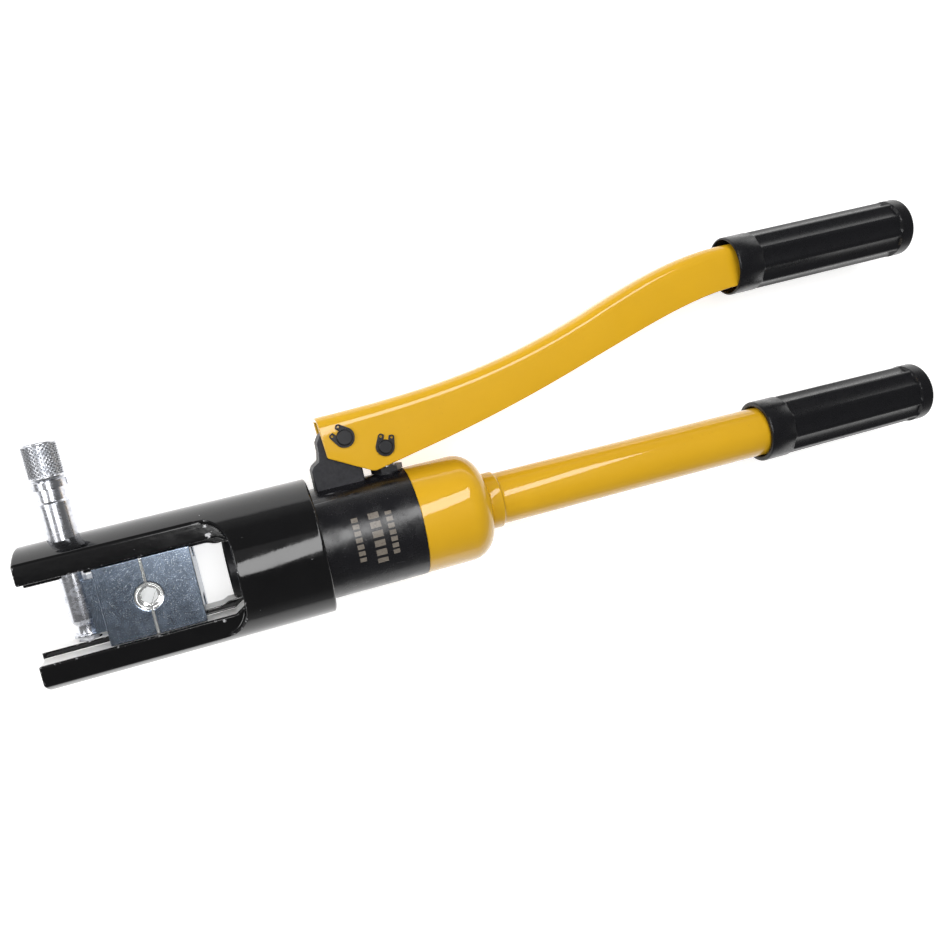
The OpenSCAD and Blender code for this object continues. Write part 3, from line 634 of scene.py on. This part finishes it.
FINISHES = {
    "head_enamel": head_enamel(),
    "body_enamel": body_enamel(),
    "yellow_paint": yellow_paint(),
    "zinc_steel": zinc_steel(),
}
for build, rows in ((plated, PLATED), (dark_metal, DARK_METALS), (soft_part, SOFT_PARTS)):
    FINISHES |= {name: build(name, *values) for name, values in rows.items()}


def finish_cad_nodes():
    """Every CAD node takes the finish of its material slot."""
    for part in frame["record"]["subparts"]:
        node = frame["nodes"].get(part["node"])
        if node is None:
            continue
        node.data.materials.clear()
        node.data.materials.append(FINISHES[part["material_slot"]])


# ---------- Head and dies ----------


def head_field(x, y, z):
    """The round head with its fork slot, rib, milled flats and bores."""
    mirrored = np.abs(z)
    solid = both(np.hypot(y, z) - HEAD_R, np.abs(x - TIP_X / 2) + TIP_X / 2, 1.3)
    flat = slot_field(x, y, SLOT_BACK_X + 0.1, FLAT_HALF, FLAT_CORNER_R)
    flat = either(flat, x - (SLOT_BACK_X - FLAT_CORNER_R))
    solid = less(solid, both(flat, FLAT_Z - mirrored, 0.9), 1.0)
    ledge = cut_slot_field(x, y, SLOT_BACK_X, LEDGE_Y, LEDGE_CUT)
    solid = less(solid, both(ledge, RIB_Z - mirrored, 0.7), 0.9)
    solid = less(solid, cut_slot_field(x, y, RIB_BACK_X, RIB_Y, RIB_CUT), 0.7)
    upper = bar_field(x - LATCH_X, z, LATCH_R + 0.05, y, 0, 2 * HEAD_R)
    lower = bar_field(x - LATCH_X, z, FOOT_R + 0.05, y, FOOT_Y - 1, 0)
    solid = less(solid, either(upper, lower), 0.8)
    bores = bar_field(y, z, ROD_R, x, SLOT_BACK_X - 10, CHAMBER_X + 1)
    bores = either(bores, bar_field(y, z, CHAMBER_R, x, CHAMBER_X, 5))
    bores = either(bores, bar_field(y, z, SOCKET_R, x, -SOCKET_LEN, 5))
    bores = either(bores, bar_field(y, z, BODY_R + 0.1, x, -1, 5))
    return less(solid, bores, 0.4)


def die_field(x, y, z, near_x, far_x, heel_x=None):
    """One die: a grooved block with half of the hexagonal cavity in the face nearest SPLIT_X.

    It reaches from near_x to far_x, with a narrower heel beyond that where heel_x is given."""
    mid, half = (near_x + far_x) / 2, abs(far_x - near_x) / 2
    block = both(np.abs(x - mid) - half, np.abs(y) - DIE_HALF_Y, 0.3)
    block = both(block, np.abs(z) - DIE_HALF_Z, 0.3)
    if heel_x is not None:
        heel_mid, heel_half = (heel_x + far_x) / 2, abs(heel_x - far_x) / 2 + 0.5
        heel = both(np.abs(x - heel_mid) - heel_half, np.abs(y) - HEEL_Y, 0.3)
        block = either(block, both(heel, np.abs(z) - HEEL_Z, 0.3), 0.5)
    groove = both(GROOVE_Y - np.abs(y), np.abs(z) - GROOVE_Z, 0.3)
    block = less(block, groove, 0.3)
    across, along = np.abs(y), np.abs(x - SPLIT_X)
    flat_distance = HEX_R * math.sqrt(3) / 2
    hexagon = np.maximum(along, across * math.sqrt(3) / 2 + along / 2) - flat_distance
    block = less(block, hexagon, 0.25)
    depth = DIE_HALF_Z - np.abs(z)
    bowl_r = HEX_R + (LEAD_IN_R - HEX_R) * np.sqrt(np.clip(1 - depth / LEAD_IN_DEPTH, 0, 2))
    bowl = (np.hypot(x - SPLIT_X, y) - bowl_r) * 0.7
    block = less(block, both(bowl, depth - LEAD_IN_DEPTH), 0.6)
    bevel = (np.abs(x - SPLIT_X) + depth - DIE_BEVEL) / math.sqrt(2)
    return less(block, bevel, 0.15)


def add_head():
    """The fork head, from a grid finer than its fillets, so that they catch the light."""
    low, high = (TIP_X, -HEAD_R, -HEAD_R), (0, HEAD_R, HEAD_R)
    points, faces, normals = surface_of(head_field, low, high, 0.6)
    piece("head_casting", points, faces, "pump_unit", "head_enamel", "fork_head", normals=normals)


def add_dies():
    """The fixed die with its heel, and the moving die with the bevels behind its side grooves."""
    fixed_low, fixed_high = node_box("fixed_die")
    moving_low, moving_high = node_box("moving_die")
    shorter, bevel_len = 1.1, 6
    block_front = SPLIT_X - (moving_high[0] - SPLIT_X) + shorter

    def fixed(x, y, z):
        return die_field(x, y, z, fixed_high[0], block_front, fixed_low[0])

    def moving(x, y, z):
        solid = die_field(x, y, z, moving_low[0], moving_high[0])
        slope = (x - moving_high[0] + np.abs(y) - GROOVE_Y + bevel_len) / math.sqrt(2)
        return less(solid, both(-slope, np.abs(z) - GROOVE_Z), 0.2)

    for name, field, low, high, body, node in (
        ("die_fixed", fixed, fixed_low, fixed_high, "pump_unit", "fixed_die"),
        ("die_moving", moving, moving_low, moving_high, "moving_die", "moving_die"),
    ):
        points, faces, normals = surface_of(field, low, high, 0.4)
        piece(name, points, faces, body, "zinc_steel", node, normals=normals)


# ---------- Latch ----------


def add_latch_pin():
    """The latch pin, with a ring above its thinner foot and a flat that faces the fixed die."""
    flat_x, flat_top, r = 4.3, LEDGE_Y - 0.4, LATCH_R
    ring_low, ring_high, neck_high, taper_high, neck_r = -13.9, -12.2, -8.2, -5.6, 5.1
    step_low, step_high, collar_r, stem_r = 50.6, 51.6, r - 0.7, 5.5
    stem_end = KNOB_LOW_Y + 10

    def flattened(along, reach, angle):
        rise = math.sin(angle)
        return min(reach, flat_x / rise) if along < flat_top and rise > 0.1 else reach

    outline = rounded([
        (FOOT_Y, 0), (FOOT_Y, FOOT_R, 1), (ring_low, FOOT_R, 0.2), (ring_low, r, 0.4), (ring_high, r, 0.4),
        (ring_high, neck_r, 0.2), (neck_high, neck_r, 0.3), (taper_high, r, 0.5),
        (flat_top - 0.01, r), (flat_top + 0.01, r), (step_low, r, 0.6), (step_high, collar_r, 0.5),
        (LATCH_COLLAR_Y, collar_r, 0.2), (LATCH_COLLAR_Y, stem_r, 0.2), (stem_end, stem_r), (stem_end, 0),
    ], 4)
    points, faces = turned(outline, "y", (LATCH_X, 0, 0), steps=144, radius=flattened)
    piece("pin_latch", points, faces, "latch", "chrome_pin", "latch_pin", sharp_deg=30)


def add_knob():
    """The knurled knob: two crossing families of helical grooves leave rows of small pyramids."""
    around, pitch, depth, fade_len, per_groove = 24, 2.05, 0.62, 0.4, 14
    low, high = KNOB_LOW_Y + 1.6, KNOB_TOP_Y - 0.9

    def knurl(along, r, angle):
        if r < KNOB_R - 0.6 or not low < along < high:
            return r
        u, v = angle * around / (2 * math.pi), (along - low) / pitch
        grooves = min(abs((u + v) % 1 - 0.5), abs((u - v) % 1 - 0.5)) * 2
        fade = min(1, (along - low) / fade_len, (high - along) / fade_len)
        return r - depth * fade * (1 - min(1, grooves * 1.12))

    outline = rounded([(KNOB_LOW_Y, 0), (KNOB_LOW_Y, KNOB_R, 1.5), (low, KNOB_R)], 8)
    outline += [(y, KNOB_R) for y in np.arange(low, high, pitch / per_groove)]
    outline += rounded([(high, KNOB_R), (KNOB_TOP_Y, KNOB_R, 0.8), (KNOB_TOP_Y, 0)], 5)
    points, faces = turned(outline, "y", (LATCH_X, 0, 0), steps=around * per_groove, radius=knurl)
    piece("knob_knurled", points, faces, "latch", "chrome_pin", "latch_knob",
          sharp_deg=25, finish="knurled_chrome")


# ---------- Reservoir and fixed handle ----------


def add_reservoir():
    """The yellow reservoir cap: a deep round shell, bored to take the pump body's end."""
    inner, bore_end = CAP_R - CAP_WALL, 63
    outline = rounded([
        (bore_end - 1, SOCKET_R), (CAP_FRONT_X, SOCKET_R, 0.3), (CAP_FRONT_X, CAP_R, 0.5),
        (CAP_REAR_X, CAP_R, CAP_FILLET), (CAP_REAR_X, CAP_HOLE_R, 0.4),
        (CAP_REAR_X - CAP_WALL, CAP_HOLE_R, 0.4), (CAP_REAR_X - CAP_WALL, inner, CAP_FILLET - CAP_WALL),
        (bore_end, inner, 0.3), (bore_end, SOCKET_R), (bore_end - 1, SOCKET_R),
    ], 24)
    points, faces = turned(outline, steps=160)
    piece("reservoir_shell", points, faces, "pump_unit", "yellow_paint", "reservoir_cap", sharp_deg=60)


def add_handle_collar():
    """The collar in the cap's hole: a hole for the spindle in front, a spigot for the tube behind."""
    spindle_r, spindle_end, neck_x = 4.05, COLLAR_REAR_X - 0.2, CAP_REAR_X - CAP_WALL
    spigot_r, spigot_x, spigot_end = TUBE_R - TUBE_WALL - 0.05, COLLAR_REAR_X + 1.2, COLLAR_REAR_X + 12
    outline = rounded([
        (spindle_end, 0), (spindle_end, spindle_r, 0.2), (neck_x, spindle_r, 0.2),
        (neck_x, CAP_HOLE_R - 0.1, 0.3), (COLLAR_FRONT_X, CAP_HOLE_R - 0.1, 0.1),
        (COLLAR_FRONT_X, COLLAR_R, 1.0), (COLLAR_REAR_X, COLLAR_R, 1.1), (COLLAR_REAR_X, TUBE_R + 0.1, 0.5),
        (spigot_x, TUBE_R + 0.05, 0.02), (spigot_x, spigot_r, 0.1), (spigot_end, spigot_r, 0.5),
        (spigot_end, 0),
    ], 8)
    points, faces = turned(outline)
    piece("handle_collar_ring", points, faces, "handle", "yellow_paint", "handle_collar", sharp_deg=50)


def add_handle_tube():
    """The long tube of the fixed handle, from the collar to inside the grip."""
    front, rear, inner = COLLAR_REAR_X + 0.05, GRIP_REAR_X - 12, TUBE_R - TUBE_WALL
    outline = rounded([(front, inner), (front, TUBE_R, 0.4), (rear, TUBE_R, 0.4), (rear, inner)], 4)
    points, faces = turned(outline + outline[:1])
    piece("handle_tube_long", points, faces, "handle", "yellow_paint", "handle_tube", sharp_deg=50)


def grip_mesh(length, front_r, rear_r, bore_r, bore_depth):
    """A moulded grip with its mouth at along = 0: collar, ten shallow flutes, and a smooth end cap."""
    collar, cap, flutes = 15, 8, 10
    flute_depth, flute_share, land_depth, fade_len = 1.35, 0.42, 0.25, 0.7
    flute_start, flute_end = collar, length - cap

    def radius(along, r, angle):
        if r < rear_r - 1.2 or not flute_start < along < flute_end:
            return r
        place = (angle * flutes / (2 * math.pi)) % 1 - 0.5
        hollow = max(0.0, 1 - (abs(place) / flute_share) ** 2)
        fade = min(1, (along - flute_start) / fade_len, (flute_end - along) / fade_len)
        return r - land_depth * fade - flute_depth * fade * hollow

    def wall(along):
        return front_r + (rear_r - front_r) * along / length

    stops = [0.0, 0.35, 0.7, 1.5]
    places = [3.0, collar - 0.3]
    places += [flute_start + s for s in stops[1:]]
    places += list(np.linspace(flute_start + 4, flute_end - 4, 24))
    places += [flute_end - s for s in stops[::-1]][:-1] + [flute_end, flute_end + 0.3]
    outline = [(bore_depth, 0), (bore_depth, bore_r - 0.6), (4.0, bore_r - 0.6), (3.2, bore_r)]
    outline += rounded([(3.2, bore_r), (0, bore_r, 0.7), (0, wall(0), 1.0), (3.0, wall(3))], 8)[1:-1]
    outline += [(x, wall(x)) for x in places]
    outline += rounded([(flute_end + 0.5, wall(flute_end)), (length, rear_r, 1.8), (length, rear_r - 6)], 10)
    outline += [(length - 0.15, rear_r - 8), (length - 0.2, 0)]
    return turned(outline, steps=flutes * 20, radius=radius)


def placed(points, origin, slope_deg):
    """Moves points made along X from 0 to where a part starts, on a slope in the XY plane."""
    c, s = math.cos(math.radians(slope_deg)), math.sin(math.radians(slope_deg))
    return [(origin[0] + x * c - y * s, origin[1] + x * s + y * c, z) for x, y, z in points]


def add_fixed_grip():
    """The grip on the tube, a little thicker at its mouth than at its end."""
    bore_r, bore_depth = 14.5, 97
    points, faces = grip_mesh(GRIP_REAR_X - GRIP_FRONT_X, GRIP_FRONT_R, GRIP_REAR_R, bore_r, bore_depth)
    points = placed(points, (GRIP_FRONT_X, 0), 0)
    piece("grip_fixed", points, faces, "handle", "grip_plastic", "fixed_grip", sharp_deg=55)


def add_lever_grip():
    """The grip on the lever's end, which slopes up a little."""
    bore_r, bore_depth = 14.6, 93
    points, faces = grip_mesh(LEVER_GRIP_LEN, LEVER_GRIP_R, LEVER_GRIP_R, bore_r, bore_depth)
    points = placed(points, (MOUTH[0] + 0.3, MOUTH[1]), LEVER_SLOPE)
    piece("grip_lever", points, faces, "lever", "grip_plastic", "lever_grip", sharp_deg=55)


# ---------- Lever ----------


def add_lever():
    """The bent channel: one folded section swept from the fulcrum end to inside the grip.

    back is its closed upper side and edge its open lower side, seen along Z. It narrows into the grip."""
    tail, mouth_half, tail_half, nose_x, nose_low_x = 85, 11.6, 11, 11.2, 12.6
    narrower, narrowing_len, end_bevel = 0.6, 30, 0.5
    slope = math.tan(math.radians(LEVER_SLOPE))
    tail_end = (MOUTH[0] + tail, MOUTH[1] + tail * slope)
    back = np.concatenate([
        bezier([(nose_x, 62.2), (62, 63.4), (104, 66), (160, 85)]),
        bezier([(163, 86.1), (195, 97.3), (220, 105.3), (MOUTH[0], MOUTH[1] + mouth_half)]),
        [(tail_end[0], tail_end[1] + tail_half)],
    ])
    nose = rounded([(nose_low_x, 42), (34, 30.4, 5), (60, 35.6)], 10)
    edge = np.concatenate([
        nose[:-1],
        bezier([(60, 35.6), (92, 41.8), (120, 48.8), (156, 60.1)]),
        bezier([(160, 61.4), (192, 71), (220, 80.9), (MOUTH[0], MOUTH[1] - mouth_half)]),
        [(tail_end[0], tail_end[1] - tail_half)],
    ])
    # The first two stations are close together, and make the bevel round the front end.
    stations = np.concatenate([[0, 0.0012], np.linspace(0.006, 1, 190)])
    loops, vertices = [], []
    for i, s in enumerate(stations):
        top_x = nose_x + (tail_end[0] - nose_x) * s
        low_x = nose_low_x + (tail_end[0] - nose_low_x) * s
        top = np.array([top_x, np.interp(top_x, back[:, 0], back[:, 1])])
        low = np.array([low_x, np.interp(low_x, edge[:, 0], edge[:, 1])])
        narrow = narrower * min(1, max(0, (top_x - MOUTH[0] + narrowing_len) / narrowing_len))
        inset = end_bevel if i == 0 else 0.0
        wide, height = CHANNEL_Z - narrow - inset, np.linalg.norm(low - top) - inset
        inner, roof = CHANNEL_Z - narrow - PLATE_T + inset, PLATE_T - inset
        outer_r, free_r = BEND_R - inset, 0.7 - inset
        section = rounded([
            (-wide, height, free_r), (-wide, inset, outer_r), (wide, inset, outer_r), (wide, height, free_r),
            (inner, height, free_r), (inner, roof, INNER_BEND_R),
            (-inner, roof, INNER_BEND_R), (-inner, height, free_r),
        ], 6, closed=True)
        down = (low - top) / np.linalg.norm(low - top)
        loops.append(range(len(vertices), len(vertices) + len(section)))
        vertices += [(*(top + down * v), u) for u, v in section]
    faces = []
    count = len(loops[0])
    for a, b in zip(loops, loops[1:]):
        faces += [(a[j], a[(j + 1) % count], b[(j + 1) % count], b[j]) for j in range(count)]
    for end in (loops[0], loops[-1]):
        faces += [(end[j], end[j + 1], end[count - 2 - j], end[count - 1 - j]) for j in range(count // 2 - 1)]
    piece("lever_folded", vertices, faces, "lever", "yellow_paint", "lever_channel", sharp_deg=45)


def add_bracket():
    """The cast bracket that carries the fulcrum pin."""
    low_y, half_z, boss_r = 22.55, 7.2, 8.2
    outline = rounded([
        (4, low_y, 0.5), (28.6, low_y, 0.5), (28.6, 33.6, 1.5), (30.2, 44, 4), (30.9, 50.3, 2), (17, 57, 5),
        (11.4, 53.2, 2), (9.4, 50, 1.5), (9.3, 45.4, 2), (8.5, 41, 1.5), (5.2, 39, 1.5), (4, 37, 1),
    ], 5, closed=True)

    def field(x, y, z):
        from_pin = np.hypot(x - FULCRUM[0], y - FULCRUM[1])
        side_on = np.minimum(polygon_field(x, y, outline), from_pin - boss_r)
        return less(both(side_on, np.abs(z) - half_z, 0.8), from_pin - FULCRUM_R - 0.05, 0.3)

    low, high = node_box("fulcrum_bracket")
    points, faces, normals = surface_of(field, low, high, 0.5)
    piece("bracket_cast", points, faces, "pump_unit", "cast_steel", "fulcrum_bracket", normals=normals)


def add_pin(name, node, centre, r):
    """A headless pin with a bevelled face and a ring groove at each end."""
    half, groove, low_z, high_z = PIN_END_Z, r - CLIP_GROOVE, CLIP_LOW_Z, CLIP_LOW_Z + CLIP_T
    one_end = [
        (0, r), (low_z, r), (low_z, groove), (high_z, groove), (high_z, r), (half - 0.5, r),
        (half - 0.15, r - 0.35), (half, r - 0.6), (half, r - 1), (half, 0),
    ]
    outline = [(-a, b) for a, b in one_end[::-1]] + one_end[1:]
    points, faces = turned(outline, "z", (*centre, 0), steps=64)
    piece(name, points, faces, "lever", "dark_steel", node, sharp_deg=30)


def add_clips(name, node, centre, r, gap_deg):
    """Two spring clips that sit in a pin's ring grooves, each with two eyes beside its gap."""
    groove, ring_r, gap_half = r - CLIP_GROOVE, r + 1.15, 1.15
    eye_along, eye_across, eye_r, eye_hole_r = r + 1.3, 2.75, 1.35, 0.6
    gap = np.array([math.cos(math.radians(gap_deg)), math.sin(math.radians(gap_deg))])
    side = np.array([-gap[1], gap[0]])

    def field(x, y, z):
        u, v = x - centre[0], y - centre[1]
        along, across = u * gap[0] + v * gap[1], np.abs(u * side[0] + v * side[1])
        solid = np.full(np.shape(x), 1e9)
        for t in np.linspace(0, 1, 16):
            widest = (1 - t) * ring_r + t * eye_r
            solid = np.minimum(solid, np.hypot(along - t * eye_along, across - t * eye_across) - widest)
        solid = less(solid, np.hypot(along, across) - groove - 0.05, 0.1)
        solid = less(solid, both(across - gap_half, -along), 0.3)
        solid = less(solid, np.hypot(along - eye_along, across - eye_across) - eye_hole_r, 0.1)
        return both(solid, np.abs(z - CLIP_LOW_Z - CLIP_T / 2) - CLIP_T / 2, 0.15)

    span = r + 3.6
    low = (centre[0] - span, centre[1] - span, CLIP_LOW_Z)
    high = (centre[0] + span, centre[1] + span, CLIP_LOW_Z + CLIP_T)
    points, faces, normals = surface_of(field, low, high, 0.2)
    flip = [1, 1, -1]
    below, normals = points * flip, np.concatenate([normals, normals * flip])
    both_points = np.concatenate([points, below])
    both_faces = np.concatenate([faces, faces[:, ::-1] + len(points)])
    piece(name, both_points, both_faces, "lever", "dark_steel", node, normals=normals)


# ---------- Floor, lights and camera ----------

# Lengths are in metres from here on, unless a name says otherwise.
FLOOR_HALF, FLOOR_GAP = 6.0, 0.0005
NEAR_REACH, FAR_REACH, NEAR_GLOW, FAR_GLOW = 0.45, 1.6, 0.68, 0.30
# The sky's light at the horizon and overhead. By LOW_SKY it has gone ZENITH_SHARE of the way.
HORIZON_LIGHT, ZENITH_LIGHT, LOW_SKY, ZENITH_SHARE = 0.42, 0.11, 0.35, 0.85
# Softboxes: name, place, the point it faces, its two sides, watts, and its turn in degrees.
SOFTBOXES = [
    ("key", (0.245, 0.478, 0.90), (0.245, 0.478, 0), (1.3, 0.21), 6.3, 56),
    ("fill_left", (-1.25, 0.40, 1.1), (0, 0, 0), (0.8, 0.8), 13.0, 0),
    ("ceiling", (-0.35, 0.27, 0.98), (-0.35, 0.27, 0), (0.9, 0.75), 0.55, 0),
    ("wash", (0.10, 0.25, 1.25), (0.10, 0.05, 0), (1.1, 1.1), 4.2, 0),
]
CAMERA_PLACE, CAMERA_TURN = (-0.0320, 0.0838, 0.4586), (-0.142, -0.245, -0.244)
SENSOR_MM, LENS_MM = 36, 35.2


def add_floor():
    """A pale floor just under the tool, which glows a little more near the tool than far away."""
    mesh = bpy.data.meshes.new("studio_floor")
    corners = [(x * FLOOR_HALF, y * FLOOR_HALF, 0) for x, y in ((-1, -1), (1, -1), (1, 1), (-1, 1))]
    mesh.from_pydata(corners, [], [(0, 1, 2, 3)])
    f = Finish("studio_floor", Emission_Color=(1, 0.995, 0.985, 1))
    tone = f.blend(f.noise(400, 2), (0.74, 0.74, 0.74), (0.78, 0.78, 0.78))
    away = f.node("ShaderNodeVectorMath", {0: f.where}, operation="LENGTH").outputs["Value"]
    glow = f.steps(away, NEAR_REACH, FAR_REACH, NEAR_GLOW, FAR_GLOW)
    rough = f.steps(f.noise(300, 2), 0.3, 0.7, 0.7, 0.8)
    mesh.materials.append(f.drive(Base_Color=tone, Roughness=rough, Emission_Strength=glow))
    floor = bpy.data.objects.new("studio_floor", mesh)
    floor.location = (0, 0, cad_box[0][2] - FLOOR_GAP)
    bpy.context.scene.collection.objects.link(floor)


def add_softbox(name, place, target, size, power, turn_deg):
    """A rectangular soft light at place, facing target."""
    lamp = bpy.data.lights.new(name, "AREA")
    lamp.shape = "RECTANGLE"
    lamp.size, lamp.size_y = size
    lamp.energy = power
    made = bpy.data.objects.new(name, lamp)
    made.location = place
    aim = (Vector(target) - Vector(place)).to_track_quat("-Z", "Y")
    made.rotation_euler = (aim @ Quaternion((0, 0, 1), math.radians(turn_deg))).to_euler()
    bpy.context.scene.collection.objects.link(made)
    return made


def add_lights():
    """The softboxes, of which the wash shows in no reflection, and a sky that darkens upwards."""
    made = {row[0]: add_softbox(*row) for row in SOFTBOXES}
    made["wash"].visible_glossy = False
    world = bpy.data.worlds.new("studio")
    world.use_nodes = True
    nodes, links = world.node_tree.nodes, world.node_tree.links
    direction = nodes.new("ShaderNodeTexCoord").outputs["Generated"]
    split = nodes.new("ShaderNodeSeparateXYZ")
    links.new(direction, split.inputs[0])
    ramp = nodes.new("ShaderNodeValToRGB")
    links.new(split.outputs["Z"], ramp.inputs[0])
    ramp.color_ramp.elements[0].color = (*[HORIZON_LIGHT] * 3, 1)
    ramp.color_ramp.elements[1].color = (*[ZENITH_LIGHT] * 3, 1)
    low_light = HORIZON_LIGHT * (1 - ZENITH_SHARE) + ZENITH_LIGHT * ZENITH_SHARE
    ramp.color_ramp.elements.new(LOW_SKY).color = (*[low_light] * 3, 1)
    links.new(ramp.outputs[0], nodes["Background"].inputs[0])
    bpy.context.scene.world = world
    bpy.context.scene.view_settings.view_transform = "Standard"


def add_camera():
    """A camera at the photograph's viewing angle."""
    data = bpy.data.cameras.new("camera")
    data.sensor_width = SENSOR_MM
    data.lens = LENS_MM
    data.clip_start, data.clip_end = 0.01, 50
    camera = bpy.data.objects.new("camera", data)
    camera.location = CAMERA_PLACE
    camera.rotation_mode = "ZYX"
    camera.rotation_euler = CAMERA_TURN
    bpy.context.scene.collection.objects.link(camera)
    bpy.context.scene.camera = camera


finish_cad_nodes()
add_head()
add_dies()
add_latch_pin()
add_knob()
add_reservoir()
add_handle_collar()
add_handle_tube()
add_fixed_grip()
add_lever_grip()
add_lever()
add_bracket()
add_pin("pin_fulcrum", "fulcrum_pin", FULCRUM, FULCRUM_R)
add_pin("pin_wrist", "wrist_pin", WRIST, WRIST_R)
add_clips("clips_fulcrum", "fulcrum_clips", FULCRUM, FULCRUM_R, 136)
add_clips("clips_wrist", "wrist_clips", WRIST, WRIST_R, 72)
add_floor()
add_lights()
add_camera()
